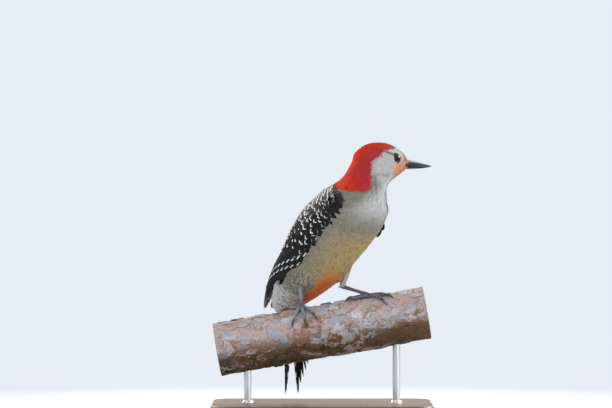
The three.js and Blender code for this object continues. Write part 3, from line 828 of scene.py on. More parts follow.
# %% Wing surface
# row, upper and lower edge in degrees, how much lower and how much looser the left wing's lower edge is
WING_EDGES = [
    (8.3, 60, 87, 0, 0),
    (8.8, 42, 103, 8, 0.8),
    (9.6, 31, 107, 20, 2.4),
    (10.6, 22, 107, 5, 0.5),
    (11.6, 15, 102, 1, 0.1),
    (12.4, 11, 99, 0, 0),
    (13.2, 9, 106, 0, 0),
    (14.0, 9, 118, 0, 0),
    (14.6, 20, 126, 0, 0),
    (14.96, 62, 112, 0, 0),
]
edge_table = along(np.array(WING_EDGES, float), np.linspace(0, len(WING_EDGES) - 1, 400))
SIDES = {"right": 1, "left": -1}


def wing_edges(side, row):
    """Upper and lower edge in radians, and how loosely the lower edge stands off, at a row."""
    rows, upper, lower, drop, loose = edge_table.T
    hangs = 1.0 * (side == "left")
    angles = [np.radians(np.interp(row, rows, edge)) for edge in (upper, lower + drop * hangs)]
    return (*angles, np.interp(row, rows, loose * hangs))


def wing_place(side):
    """The wing's surface as a function of row and share from its upper edge (0) to its lower edge (1)."""
    def place(row, share):
        upper, lower, loose = wing_edges(side, row)
        angle = SIDES[side] * (upper + (lower - upper) * share)
        return loft(WING, row, angle, loose * np.clip(share, 0, 1.2) ** 2)
    return place


wings = {}
for side in SIDES:
    wings[side] = Sheet(wing_place(side), (8.3, 14.96), (-0.3, 1.3), (500, 97))
    wings[side].face_away(200, 48, centre)
    print(side, "wing length mm:", norm(np.diff(wings[side].points[:, 48], axis=0)).sum().round(1))


def wing_share(u, v):
    """Share across that side's wing at a body place, or -9 where there is no wing."""
    v = (v + math.pi) % (2 * math.pi) - math.pi
    out = np.full(np.shape(u), -9.0)
    for side, sign in SIDES.items():
        upper, lower, _ = wing_edges(side, u)
        share = (np.abs(v) - upper) / (lower - upper)
        out = np.where(np.sign(v) == sign, share, out)
    return np.where((u > 8.45) & (u < 14.9), out, -9.0)


# %% [markdown]
# ## One skin for the flesh
# Head, neck, trunk and thighs are separate solids, but a bird has one skin. It is the body's outline
# sunk by the depth of the coat, as one closed mesh, and each thigh is drawn out of it: points near the
# hip slide along the line to the heel, the nearer the further. A Remesh of joined parts would also
# close the seams, but it would lose the clean rows that carry the markings.

# %% Skin
COAT_ROWS = [0, 1, 2, 3, 4, 6, 8, 10, 12, 14, 16]
COAT_DEPTHS = [0.35, 0.4, 0.45, 0.5, 0.55, 0.7, 0.85, 1.0, 1.1, 1.1, 1.0]
# root is the thigh's radius at the body; foot and toes are along the branch and degrees round it
LEGS = {
    "right": {
        "root": 9.6,
        "hip": (-9.0, -0.5, 117.0),
        "heel": (-17.2, -6.8, 105.4),
        "foot": (-12.4, 7.0),
        "toes": [
            [(-12.1, 25), (-11.8, 42), (-11.5, 57)],
            [(-9.8, 17), (-7, 31), (-4.6, 45)],
            [(-14.8, 21), (-17.7, 37), (-20, 52)],
            [(-15.8, 8), (-19.2, 7), (-22.6, 6)],
        ],
    },
    "left": {
        "root": 6.2,
        "hip": (22.5, 11.5, 121.0),
        "heel": (16.0, 9.0, 104.2),
        "foot": (40.5, 9.0),
        "toes": [
            [(46, 11), (51, 17), (54.5, 26)],
            [(44.6, 18), (48, 29), (50, 39)],
            [(35.5, 11), (31, 13), (27.5, 15)],
            [(36.5, 1), (32, -5), (28, -9)],
        ],
    },
}
for leg in LEGS.values():
    leg["toes"] = [np.array([leg["foot"], *path], float) for path in leg["toes"]]
THIGH_LENGTH = 0.93
THIGH_END = 1.6


def coat_depth(u):
    """Depth of the coat at a station, in millimetres."""
    return np.interp(u, COAT_ROWS, COAT_DEPTHS)


def gape(u, v):
    """1 at the corner of the bill, on either side, fading out round it."""
    degrees = degrees_round(v)
    return bell(degrees - 96, 21) * fade(1.5, 2.2, u)


def skin_depth(u, v):
    """The coat's depth, with a hollow at the gape and another where a folded wing presses."""
    share = wing_share(u, v)
    under_wing = smooth(0.04, 0.2, share) * fade(0.8, 0.96, share)
    return coat_depth(u) + 1.7 * gape(u, v) + 1.5 * under_wing


def thigh_radius(t, root):
    """The thigh's own radius from hip (0) to heel (1): 1.9 + (root - 3.2) x (1 - t) to the power 1.2."""
    return 1.9 + (root - 3.2) * np.clip(1 - t, 0, 1) ** 1.2


def thigh_axis(leg):
    """Hip, direction to the heel, and the thigh's length."""
    hip = np.array(leg["hip"])
    heel = np.array(leg["heel"])
    length = float(np.linalg.norm(heel - hip))
    return hip, (heel - hip) / length, length * THIGH_LENGTH


def drawn_out(points):
    """Slides points within reach of a hip's line towards the heel, on to the thigh's cone."""
    for leg in LEGS.values():
        hip, ahead, length = thigh_axis(leg)
        from_hip = points - hip
        down = dot(from_hip, ahead)
        aside = from_hip - down * ahead
        radius = norm(aside)[..., None]
        root = leg["root"]
        t = np.clip((root - radius) / (root - THIGH_END), 0, 1) * (down > 0)
        share = smooth(0, 0.25, t)
        cone = np.where(t < 1, thigh_radius(t, root), thigh_radius(1.0, root) * radius / THIGH_END)
        new_radius = radius * (1 - share) + cone * share
        new_down = down + (length - down) * t
        points = hip + new_down * ahead + aside / np.maximum(radius, 1e-6) * new_radius
    return points


skin_u, skin_v = spread(np.linspace(0.02, LAST_ROW, 330), np.linspace(-math.pi, math.pi, 177)[:-1])
skin_points = drawn_out(body.at(skin_u, skin_v, -skin_depth(skin_u, skin_v)))
skin_first, skin_second = markings(skin_u, skin_v, np.full(skin_u.shape, 0.5))
skin_shape = tube_shape(skin_points, face_marks=skin_first, body_marks=skin_second)
print("skin:", len(skin_shape["points"]), "points")

# %% [markdown]
# ## Skin with wing arms
# The arm and hand of a folded wing are flat, so one thin shell under each wing's feathers stands for
# them. Joined to the body's skin as one mesh, it keeps the flesh a single piece.

# %% Build the skin
def wing_arm(side):
    """A closed shell between two depths under the wing's face, thin at its edges."""
    rows, share = spread(np.linspace(8.5, 14.2, 90), np.linspace(0.06, 0.94, 26))
    from_ends = np.minimum((rows - 8.45) * 2, (14.3 - rows) * 2)
    swell = np.sin(math.pi * share) ** 0.4 * np.sqrt(np.clip(from_ends, 0.05, 1))
    outer = wings[side].at(rows, share, -0.75)
    inner = wings[side].at(rows, share, -0.8 - 1.0 * swell)
    ring = np.concatenate([outer, inner[:, ::-1]], 1)
    none = np.zeros((*ring.shape[:2], 4))
    return tube_shape(ring, face_marks=none, body_marks=none + (0, 0, 0, 1))


flesh = ["head", "neck", "trunk", "thigh_right", "thigh_left"]
piece("skin", joined([skin_shape, wing_arm("right"), wing_arm("left")]), "skin", flesh)

# %% [markdown]
# ## The body coat
# The coat is laid in tracts, as on a real bird: tiny feathers on the face, short velvet on the crown,
# longer and softer ones down the breast and belly. Feathers that would cross an eye are cut short, and
# none grow under a thigh or under the folded wing, except near its loose end.

# %% Body tracts
EYE_RADIUS = 3.7
EYE_ROW = 3.5
EYE_ANGLE = math.radians(74)
EYE_SINK = 2.7
EYE_CLEAR = 3.3
EYE_TALL = 1.22


def eye_frame(side):
    """Centre of the eye's opening on the outline, the outward, forward and upward directions there."""
    u = np.array([EYE_ROW])
    v = np.array([SIDES[side] * EYE_ANGLE])
    point, normal, back = body.read(u, v, body.points, body.normals, body.slope_u)
    normal = unit(normal)[0]
    ahead = unit(-(back[0] - np.sum(back[0] * normal) * normal))
    return point[0], normal, ahead, np.cross(normal, ahead) * SIDES[side]


def short_of_eyes(u, v, length):
    """Lengths cut so that no feather reaches over an eye: the distance along the lie to an oval round it.
    Heights are divided by EYE_TALL first, which turns the oval into a circle of radius EYE_CLEAR."""
    point, back = body.read(u, v, body.points, body.slope_u)
    back = unit(back)
    for side in SIDES:
        rim, _, _, up = eye_frame(side)
        squeeze = 1 - 1 / EYE_TALL
        rel = rim - point
        rel = rel - squeeze * dot(rel, up) * up
        way = back - squeeze * dot(back, up) * up
        speed = dot(way, way)[:, 0]
        ahead = dot(rel, way)[:, 0] / speed
        inside = np.maximum(ahead**2 - (dot(rel, rel)[:, 0] - EYE_CLEAR**2) / speed, 0)
        chord = np.sqrt(inside)
        blocked = (inside > 0) & (ahead > -chord)
        length = np.where(blocked, np.minimum(length, ahead - chord), length)
    return length


def near_thigh(u, v):
    """True where a root lies in the ground that a thigh is drawn from."""
    point = body.at(u, v, -coat_depth(u))
    inside = np.zeros(u.shape, bool)
    for leg in LEGS.values():
        hip, ahead, _ = thigh_axis(leg)
        rel = point - hip
        down = dot(rel, ahead)
        aside = norm(rel - down * ahead)
        inside |= (aside < 0.72 * leg["root"]) & (down[:, 0] > 0)
    return inside


# length and width over the distance between feathers, then web and slope as in vane
HAIRY = (4.2, 1.3, 0.66, 1.2)
VELVET = (4.0, 1.45, 0.7, 1.15)
DOWNY = (3.6, 1.8, 0.82, 1.0)
BROAD = (2.7, 1.75, 0.75, 0.5)
LOOSE_END = 13.0


def body_tract(name, u_range, v_range, spacing, barbs, slot, seed, style, keep=None,
               material="soft_feathers", lift=0.0, **options):
    """Scatters roots, cuts lengths near the eyes, lays the feathers and colours each point by its place."""
    rng = default_rng(seed)
    ratio, breadth, web, slope = style
    u, v = scatter(body, u_range, v_range, spacing, seed * 0.137)
    share = wing_share(u, v)
    covered = (share > 0.1) & (share < 0.95) & (u < LOOSE_END)
    kept = ~covered & ~near_thigh(u, v) & (gape(u, v) < 0.5)
    if keep is not None:
        kept &= keep(u, v)
    u, v = u[kept], v[kept]
    size = spacing(u) * rng.uniform(0.85, 1.15, len(u))
    length = short_of_eyes(u, v, size * ratio)
    kept = length > 0.35 * size
    u, v, size, length = u[kept], v[kept], size[kept], length[kept]
    depth = coat_depth(u)
    high = lift + 0.06 * depth * rng.standard_normal(len(u))
    pattern = vane(barbs, web=web, slope=slope, seed=seed)
    low = -depth + 0.05
    made, at_u, at_v, chance = lay(body, u, v, pattern, length, size * breadth, low, high, rng, **options)
    before = made["points"]
    made["points"] = drawn_out(before)
    moved = norm(made["points"] - before)[:, None]
    marks = made["marks"]
    marks["lie"] = marks["lie"] * fade(0.2, 1.5, moved)
    marks["face_marks"], marks["body_marks"] = markings(at_u, at_v, chance)
    print(f"{name}: {len(u)} feathers")
    return piece(name, made, material)


def by_row(rows, values):
    """A function that gives the value at a row, straight between the rows named."""
    return lambda row: np.interp(row, rows, values)


# distance between feathers in millimetres, finest at the bill
head_spacing = by_row([0, 1, 2, 3, 4, 5, 6.4], [0.44, 0.48, 0.53, 0.6, 0.72, 0.84, 1.0])
neck_spacing = by_row([6, 7, 8, 9.2], [0.98, 1.08, 1.25, 1.5])
trunk_spacing = by_row([8.7, 10, 13, 14.5, 16], [1.42, 1.65, 1.75, 1.7, 1.6])
mantle_spacing = by_row([8.5, 10, 12], [2.7, 3.6, 4.2])
ALL_ROUND = (-math.pi, math.pi)
MANTLE_HALF = math.radians(66)
body_tract("coat_face", (0.25, 3.5), ALL_ROUND, head_spacing, 3, "red_feathers", 1, HAIRY)
body_tract("coat_crown", (3.5, 6.2), ALL_ROUND, head_spacing, 4, "red_feathers", 2, VELVET)
body_tract("coat_neck", (6.2, 8.7), ALL_ROUND, neck_spacing, 5, "red_feathers", 3, VELVET, wild=0.14)
body_tract("coat_breast", (8.7, 12.0), ALL_ROUND, trunk_spacing, 9, "grey_feathers", 4, DOWNY,
           lambda u, v: np.abs(v) > MANTLE_HALF, wild=0.14)
body_tract("coat_belly", (12.0, 15.9), ALL_ROUND, trunk_spacing, 9, "grey_feathers", 5, DOWNY, wild=0.16)
body_tract("coat_mantle", (8.55, 12.6), (-MANTLE_HALF, MANTLE_HALF), mantle_spacing, 14, BARRED, 6, BROAD,
           lambda u, v: np.abs(v) < math.radians(64), "mantle_feathers", lift=0.9)

# %% [markdown]
# ## Wing coverts
# Rows of small feathers cover the wing's arm. They stand in a brick pattern, each row half a step aside
# from the last, and grow larger from the wing's bend backwards. A scatter would look restless here,
# because on a real wing the white chevrons fall into slanting rows.

# %% Coverts
WING_BEND = 8.32


def brick_rows(sheet, rows, shares, spacing, rng):
    """Roots in rows about spacing apart; every second row moves half a step, and all are nudged a little."""
    found_u = []
    found_v = []
    row = rows[0]
    odd = 0
    while row < rows[1]:
        left, right = sheet.at(np.array([row, row]), np.array([0.0, 1.0]))
        length = norm(left - right) * 1.12
        step = spacing(row)
        count = max(int(length * (shares[1] - shares[0]) / (step * 1.15)), 2)
        place = shares[0] + (shares[1] - shares[0]) * (np.arange(count + 1) + 0.5 * odd) / count
        slope = sheet.read(np.array([row]), np.array([0.5]), sheet.slope_u)[0]
        slanted = row + 0.2 * (place - 0.5) + 0.05 * rng.standard_normal(len(place))
        found_u.append(np.maximum(slanted, WING_BEND))
        found_v.append(place + 0.02 * rng.standard_normal(len(place)))
        row += step / norm(slope[0])
        odd = 1 - odd
    return np.concatenate(found_u), np.concatenate(found_v)


# small at the bend of the wing, broad where the coverts end
covert_spacing = by_row([8.3, 9.2, 10.2, 11.4, 12], [2.6, 3.5, 4.6, 5.4, 5.6])
COVERT_REACH = {"right": 0.88, "left": 0.98}


def pattern_mark(made, amount):
    """How strongly each point takes the white pattern."""
    made["marks"]["pattern"] = np.repeat(amount[:, None], 4, axis=1)
    return made


def wing_coverts(side, seed):
    """The coverts of one wing, from its bend to where the long feathers are left bare."""
    rng = default_rng(seed)
    row, share = brick_rows(wings[side], (8.36, 11.1), (0.0, COVERT_REACH[side]), covert_spacing, rng)
    size = covert_spacing(row) * rng.uniform(0.92, 1.08, len(row))
    high = 0.75 + 0.1 * rng.standard_normal(len(row))
    edge = smooth(0.0, 0.1, 1 - share)
    pattern = vane(13, web=0.8, blunt=1.9, seed=seed)
    made, at_row, at_share, chance = lay(
        wings[side], row, share, pattern, size * 2.5, size * 1.55, -0.9 + 0 * row,
        high * edge + 0.15 * (1 - edge), rng, cup=0.3, wild=0.07, patch=0.03)
    count = len(chance) // len(row)
    made["marks"]["vane"][:, :2] /= np.repeat(size / 4.4, count)[:, None]
    shown = np.where(chance > 0.12, 1.0, 0.0)
    plain_bend = smooth(0.5, 0.68, at_share) * fade(9.1, 9.7, at_row)
    amount = shown * smooth(8.45, 8.8, at_row + 0.25 * at_share) * (1 - plain_bend)
    amount = amount * fade(0.84, 0.95, at_share)
    return piece(f"coverts_{side}", pattern_mark(made, amount), "coverts", [f"wing_{side}"])


for seed, side in enumerate(SIDES):
    wing_coverts(side, 21 + seed)

# %% [markdown]
# ## Flight feathers
# The long feathers fold like a fan: the tertials next to the back lie on top, each secondary slides under
# the one above it, and the primaries lie lowest and reach the wing's tip. So each is a strip along its
# own line on the wing's surface, from a hidden root to a tip, at its own height. Its web is almost
# closed, because these barbs zip together, and it is thickened afterwards.

# %% Long feathers
def quill_outline(t):
    """Narrow at the root, full width along the feather, rounded at the tip."""
    rounding = np.clip((t - 0.78) / 0.22, 0, 1) ** 2.2
    return (0.45 + 0.55 * smooth(0, 0.22, t)) * np.sqrt(np.clip(1 - rounding, 0, 1))


def stiff_outline(t):
    """Full width, then a long taper to a stiff point."""
    return (0.7 + 0.3 * smooth(0, 0.25, t)) * np.clip(0.05 + 2.4 * (1 - t), 0, 1) ** 0.8


def quill_pattern(barbs, outline, web=0.88):
    """Points and triangles of a long vane: shaft, web edge and barb tips, as in the small one."""
    places, triangles = vane(barbs, root=0.04, web=web, slope=0.12, seed=9)
    n = barbs + 2
    stations = places[:n, 1]
    middles = (stations[1:] + stations[:-1]) / 2
    old = np.sqrt(np.clip(np.sin(math.pi * stations**1.6), 0.02, 1))
    old_tips = np.sqrt(np.clip(np.sin(math.pi * middles**1.6), 0.03, 1))
    for notch_at in (n, 3 * n - 1):
        for start_at, was, t in ((notch_at, old, stations), (notch_at + n, old_tips, middles)):
            places[start_at:start_at + len(t), 0] *= outline(t) / was
            places[start_at:start_at + len(t), 1] = np.minimum(t + 0.012, 0.985)
    places[-1] = (0, 1)
    return places, triangles


def quills(sheet, pattern, table, rng):
    """Strips on a sheet. table rows: root u, root v, tip u, tip v, half width, height, tilt, length in mm.
    A point at (across, along) lies at root + (tip - root) x along, moved sideways by across x half width."""
    places, triangles = pattern
    table = np.array(table, float)
    root_u, root_v, tip_u, tip_v, half, height, tilt, length = (table[:, k, None] for k in range(8))
    s = places[None, :, 0]
    t = places[None, :, 1]
    u = root_u + (tip_u - root_u) * t
    v = root_v + (tip_v - root_v) * t
    slope = sheet.read(u, v, sheet.slope_v)[0]
    x = s * half
    v = v + x / np.maximum(norm(slope), 0.5)
    h = height + tilt * s - 0.10 * half * 0.3 * s**2
    points = sheet.at(u, v, h)
    chance = rng.random((len(table), 1))
    over = stacked(x, length * (1 - t), chance)
    faces = (triangles[None] + np.arange(len(table))[:, None, None] * len(places)).reshape(-1, 3)
    k = np.arange(len(table))[:, None]
    strip = stacked((k + 0.5 + 0.44 * np.clip(s, -1.1, 1.1)) / len(table), 0.02 + 0.96 * np.clip(t, 0, 1))
    return shape(points, [faces], vane=over.reshape(-1, 3), bake=np.clip(strip, 0.002, 0.998).reshape(-1, 2))


QUILL_THICKNESS = 0.16


def thicken(obj, thickness):
    """Gives thin sheets a real thickness inwards, in millimetres."""
    solid = obj.modifiers.new("thickness", "SOLIDIFY")
    solid.thickness = thickness * MM
    solid.offset = -1.0
    return obj


def wing_quills(side, seed):
    """Primaries, secondaries and tertials of one wing, in a piece each because their bars differ."""
    rng = default_rng(seed)
    k, m, n = np.arange(8), np.arange(9), np.arange(4)
    tip_row = np.array([14.25, 14.62, 14.86, 14.93, 14.84, 14.66, 14.42, 14.16])
    tip_share = np.array([0.86, 0.74, 0.60, 0.50, 0.42, 0.36, 0.30, 0.26])
    kinds = {
        "outer_quills": (11.4 - 0.1 * k, 0.98 - 0.05 * k, tip_row, tip_share,
                         3.3 + 0.1 * k, -0.25 + 0.05 * k, 0.12, 62 - 2.0 * k),
        "inner_quills": (10.7 - 0.05 * m, 0.92 - 0.08 * m, 12.15 + 0.225 * m, 0.92 - 0.08 * m,
                         3.9 + 0.1 * m, 0.15 + 0.05 * m, 0.14, 25.4 + 4.8 * m),
        "tertials": (10.3 - 0.1 * n, 0.30 - 0.08 * n, 13.5 - 0.22 * n, 0.15 - 0.04 * n,
                     5.2 + 0.15 * n, 0.6 + 0.1 * n, 0.1, 56 - 2.1 * n),
    }
    for kind, columns in kinds.items():
        made = quills(wings[side], quill_pattern(46, quill_outline), stacked(*columns), rng)
        if SIDES[side] < 0:
            made["faces"] = [f[:, ::-1] for f in made["faces"]]
        pattern_mark(made, np.ones(len(made["points"])))
        thicken(piece(f"{kind}_{side}", made, kind, [f"wing_{side}"]), QUILL_THICKNESS)


for seed, side in enumerate(SIDES):
    wing_quills(side, 31 + seed)

# %% [markdown]
# ## Scapulars
# Where the wing joins the back, larger barred feathers fall over the wing's upper edge and hide it.

# %% Scapulars
scapular_spacing = by_row([8.5, 10, 12], [3.0, 4.0, 4.6])
for seed, side in enumerate(SIDES):
    rng = default_rng(41 + seed)
    row, share = brick_rows(wings[side], (8.55, 11.9), (-0.12, 0.24), scapular_spacing, rng)
    size = scapular_spacing(row) * rng.uniform(0.92, 1.08, len(row))
    high = 1.15 + 0.1 * rng.standard_normal(len(row))
    made = lay(wings[side], row, share, vane(16, web=0.8, blunt=1.8, seed=7), size * 2.7, size * 1.8,
               -0.3 + 0 * row, high, rng, wild=0.08, patch=0.04)[0]
    pattern_mark(made, np.ones(len(made["points"])))
    piece(f"scapulars_{side}", made, "scapulars", [f"wing_{side}"])

# %% [markdown]
# ## Tail
# A woodpecker props itself on ten stiff, pointed tail feathers. They hang behind the branch, the middle
# pair longest and on top, and the others in steps under them. They are strips like the flight
# feathers, on a surface that follows the tail's bend and spreads towards its end.

# %% Tail feathers
# the tail's middle (x, y, z), the direction across it (x, y), and how far the feathers spread
TAIL_PATH = np.array([
    (-31, 33, 94, -0.70, -0.71, 2.0),
    (-28.4, 30.6, 80, -0.78, -0.63, 2.6),
    (-24.6, 28.2, 62, -0.86, -0.51, 6.4),
    (-23.6, 26.4, 44, -0.92, -0.39, 8.0),
    (-23.5, 24.4, 19, -0.94, -0.34, 10.6),
], float)
# place across the spread, where the tip ends, half width in mm, layer under the middle pair
TAIL_FEATHERS = [
    (0.5, 1.0, 3.2, 0), (-0.5, 1.0, 3.4, 0), (0.55, 0.88, 2.7, 1), (-0.75, 0.92, 3.1, 1),
    (0.6, 0.77, 2.6, 2), (-1.0, 0.87, 3.0, 2), (0.66, 0.67, 2.5, 3), (-1.3, 0.82, 2.8, 3),
    (0.72, 0.56, 2.4, 4), (-1.6, 0.77, 2.6, 4),
]
LAYER_STEP = 0.55


def tail_place(share, across):
    """A point along the tail's line, moved sideways by across x the spread there."""
    row = along(TAIL_PATH, share * (len(TAIL_PATH) - 1))
    wide = unit(np.concatenate([row[..., 3:5], 0 * row[..., :1]], -1))
    return row[..., :3] + wide * (across * row[..., 5])[..., None]


tail_sheet = Sheet(tail_place, (0, 1), (-3, 3), (200, 13))
if tail_sheet.normals[100, 6][1] > 0:
    tail_sheet.normals *= -1
tail_table = [
    (0, across, end, across, half, layer * LAYER_STEP * 0.85, 0.0, 76 * end)
    for across, end, half, layer in TAIL_FEATHERS
]
tail_shape = quills(tail_sheet, quill_pattern(52, stiff_outline, 0.84), tail_table, default_rng(51))
points_each = len(tail_shape["points"]) // len(TAIL_FEATHERS)
place, _, _, layer = np.repeat(np.array(TAIL_FEATHERS), points_each, axis=0).T
inner_web = tail_shape["marks"]["vane"][:, 0] * place < 0
amount = 1.0 * (layer == 0) * inner_web + 0.8 * (layer == 4)
pattern_mark(tail_shape, amount)
thicken(piece("tail_quills", tail_shape, "tail_quills", ["tail"]), thickness=0.45)

# %% [markdown]
# ## Thigh feathers
# Each thigh wears short feathers that run down to the heel like a sleeve. Their ground is the body's
# outline drawn out in the same way as the skin, so the sleeve leaves the belly without a seam.

# %% Thigh tracts
def thigh_sheet(leg):
    """The ground of a thigh's feathers: the body's outline drawn out along the hip's line, like the skin.
    At share t the outline is met at radius root + (end - root) x t from the line, and the place slides from
    there by t of the way that is left to the heel, at the thigh's own radius + the coat's depth."""
    hip, ahead, length = thigh_axis(leg)
    one = unit(np.cross(ahead, [0.0, 1.0, 0.3]))
    two = np.cross(ahead, one)
    from_hip = body.points.reshape(-1, 3) - hip
    aside = stacked(from_hip @ one, from_hip @ two)
    near = (from_hip @ ahead > 0) & (norm(aside) < leg["root"] + 1)
    aside = aside[near][::3]
    surface_at = (from_hip @ ahead)[near][::3]

    def met(t, angle):
        """Where a line beside the hip's line meets the outline, and how far off the nearest places were."""
        reach = leg["root"] + (THIGH_END - leg["root"]) * np.clip(t, 0, 1)
        way = stacked(np.cos(angle), np.sin(angle))
        gaps = np.sum(((way * reach[..., None]).reshape(-1, 1, 2) - aside[None]) ** 2, -1)
        nearest = np.argpartition(gaps, 6, axis=1)[:, :6]
        off = np.sqrt(np.take_along_axis(gaps, nearest, 1).mean(1)).reshape(t.shape)
        return reach, surface_at[nearest].mean(1).reshape(t.shape), off

    def place(t, angle):
        reach, start_at, _ = met(t, angle)
        down = start_at + (length - start_at) * t
        share = smooth(0, 0.25, t)
        wide = reach * (1 - share) + thigh_radius(t, leg["root"]) * share + THIGH_COAT
        return hip + ahead * down[..., None] + turned_by(angle, one, two) * wide[..., None]

    sheet = Sheet(place, (0, 1.1), (-math.pi, math.pi), (36, 61), True)
    sheet.face_away(18, 10, sheet.points[18].mean(0))
    return sheet, met


THIGH_COAT = 0.7
thigh_spacing = by_row([0, 1], [1.5, 0.8])
FALL = np.array([-0.35, 0.0, -1.0])
THIGH_PALE = {"right": 0.25, "left": 0.8}
for seed, (side, leg) in enumerate(LEGS.items()):
    rng = default_rng(61 + seed)
    sheet, met = thigh_sheet(leg)
    t, angle = scatter(sheet, (0.04, 0.95), ALL_ROUND, thigh_spacing, 0.3)
    kept = met(t, angle)[2] < 0.7
    t, angle = t[kept], angle[kept]
    size = thigh_spacing(t) * rng.uniform(0.85, 1.15, len(t))
    normal, slope = sheet.read(t, angle, sheet.normals, sheet.slope_u)
    normal = unit(normal)
    back = unit(slope - dot(slope, normal) * normal)
    hanging = np.arctan2(dot(np.cross(back, normal), FALL)[:, 0], dot(back, FALL)[:, 0])
    high = 0.1 + 0.08 * rng.standard_normal(len(t))
    made, at_t, _, chance = lay(sheet, t, angle, vane(9, seed=8, web=0.8, slope=0.9), size * 3.0, size * 1.7,
                                -0.7 + 0 * t, high, rng, yaw=hanging)
    pale = THIGH_PALE[side]
    streaks = (1 - pale) * 0.7 * (chance > 0.6)
    bars = (1 - pale) * 0.6 * (chance > 0.35)
    made["marks"]["face_marks"] = stacked(0.0, 0.0, pale * (0.7 + 0.3 * smooth(0.3, 0.85, at_t)), streaks)
    made["marks"]["body_marks"] = stacked(0.4 * (1 - pale), 0.0, bars, 0.0)
    piece(f"coat_thigh_{side}", made, "soft_feathers", [f"thigh_{side}"])

# %% [markdown]
# ## Bill
# The bill is two horny halves that meet in a line. Each is a loft of arches: half width, ridge and
# cutting edge at a few stations, joined by smooth curves, with a low swelling along each side. Both are
# closed where they face each other, so that no light shows between them.

# %% Horn and bill
tree, shader = new_material("bill_horn", roughness=0.35, specular_ior_level=0.14)
# Painted reflection: the pale blue-grey on the top of the upper bill stands for the sky mirrored in its
# glossy horn; grain here only reads the horn mark.
grain = read_mark(tree, "horn")["Color"]
level = split(tree, grain)
streak = noise(tree, 900.0, 3.0, 0.6, (0.25, 1.0, 2.2))
dark_horn = blend(tree, streak, rgb(0.010, 0.011, 0.013), rgb(0.028, 0.030, 0.035))
painted_sheen_horn = blend(tree, level["Green"], dark_horn, rgb(0.42, 0.48, 0.60))
# paler grey along the cutting edges and on the faces where the two halves meet
pale_edged_horn = blend(tree, times(tree, level["Blue"], 0.35), painted_sheen_horn, rgb(0.16, 0.15, 0.14))
dress(tree, shader, pale_edged_horn, scaled(tree, streak, 0.25, 0.2), streak, 0.25)

UPPER_BILL = np.array([
    (74.5, 203.6, 199.7, 5.0), (79.5, 203.6, 199.4, 4.0), (85, 202.8, 198.9, 2.9),
    (92, 201.2, 198.5, 1.9), (98, 199.7, 198.3, 0.9), (100.8, 198.8, 198.25, 0.35),
])
LOWER_BILL = np.array([
    (74.5, 196.0, 199.4, 4.8), (79.5, 196.0, 199.1, 3.7), (85, 196.2, 198.6, 2.7),
    (91, 196.5, 198.2, 1.7), (96.5, 197.2, 198.0, 0.9), (99.4, 197.6, 197.98, 0.35),
])


def bill_half(rows, rings=90, arch=44):
    """Arches over the edge: right = half width x cos a, up = edge + (ridge - edge) x sin a to the power 0.8,
    with a low swelling along each side. The floor between the edges swells by 0.13, so that the halves
    almost meet."""
    t = np.linspace(0, 1, rings)[:, None]
    forward, ridge, edge, width = (along(rows, t[:, 0] * (len(rows) - 1))[:, k, None] for k in range(4))
    over = np.linspace(0, math.pi, arch)[None]
    rise = np.sin(over) ** 0.8
    groove = 0.10 * width / 3 * bell(np.sin(over) - 0.62, 0.12) * (1 - t) * np.sign(ridge - edge)
    right_top = (width + np.abs(groove) * 1.2) * np.cos(over)
    up_top = edge + (ridge - edge) * rise + groove
    across = np.linspace(-1, 1, 14)[None, 1:-1]
    right_floor = width * across
    up_floor = edge - np.sign(ridge - edge) * 0.13 * (1 - across**2)
    right = np.concatenate([right_top, right_floor + 0 * t], 1)
    up = np.concatenate([up_top, up_floor], 1)
    rings_at = bird_point(forward + 0 * right, right, up, 1.0)
    level = np.concatenate([rise + 0 * t, 0 * right_floor], 1)
    cutting_edge_pale = np.concatenate([bell(rise, 0.08) + 0 * t, 1 + 0 * right_floor], 1)
    # the horn mark's second part marks the top of the upper bill, where the bill's material paints the sky's
    # reflection
    horn = stacked(level, smooth(0.42, 0.9, level) * (ridge > edge), cutting_edge_pale * (1 - 0.3 * t), 1.0)
    return tube_shape(rings_at, horn=horn)


piece("bill_upper_horn", bill_half(UPPER_BILL), "bill_horn", ["bill_upper"])
piece("bill_lower_horn", bill_half(LOWER_BILL), "bill_horn", ["bill_lower"])

# %% [markdown]
# ## Bristles over the nostrils
# Short stiff feathers point forward from the forehead and cover the nostrils, and shorter ones stand on
# the chin. They run against the coat's lie, so they are laid straight in space instead of along it.

# %% Bristles
rng = default_rng(71)
u, v = scatter(body, (0.35, 1.75), ALL_ROUND, lambda u: 0.62 + 0 * u, 0.7)
degrees = np.abs(np.degrees(v))
kept = gape(u, v) < 0.3
u, v, degrees = (a[kept] for a in (u, v, degrees))
length = 3.0 * (0.62 + 0.38 * np.cos(np.radians(degrees))) * rng.uniform(0.8, 1.2, len(u))
high = 0.15 + 0.15 * rng.random(len(u))
made, at_u, at_v, chance = lay(body, u, v, vane(4, web=0.4, seed=5), length, 0.75 + 0 * u, -0.5 + 0 * u,
                               high, rng, yaw=math.pi, wild=0.16, straight=1.0)
marks = made["marks"]
marks["face_marks"], marks["body_marks"] = markings(np.maximum(at_u, 0), at_v, chance)
piece("coat_bristles", made, "soft_feathers")

# %% [markdown]
# ## Eyes and lids
# The eye is a wet ball set into the head, with a low bulge in front: a dark red-brown iris round a
# large pupil. Both are rings by the angle from the eye's own axis, kept as a mark on the mesh. The lid
# is a bare ring of skin that hugs the ball and hides where it meets the coat.

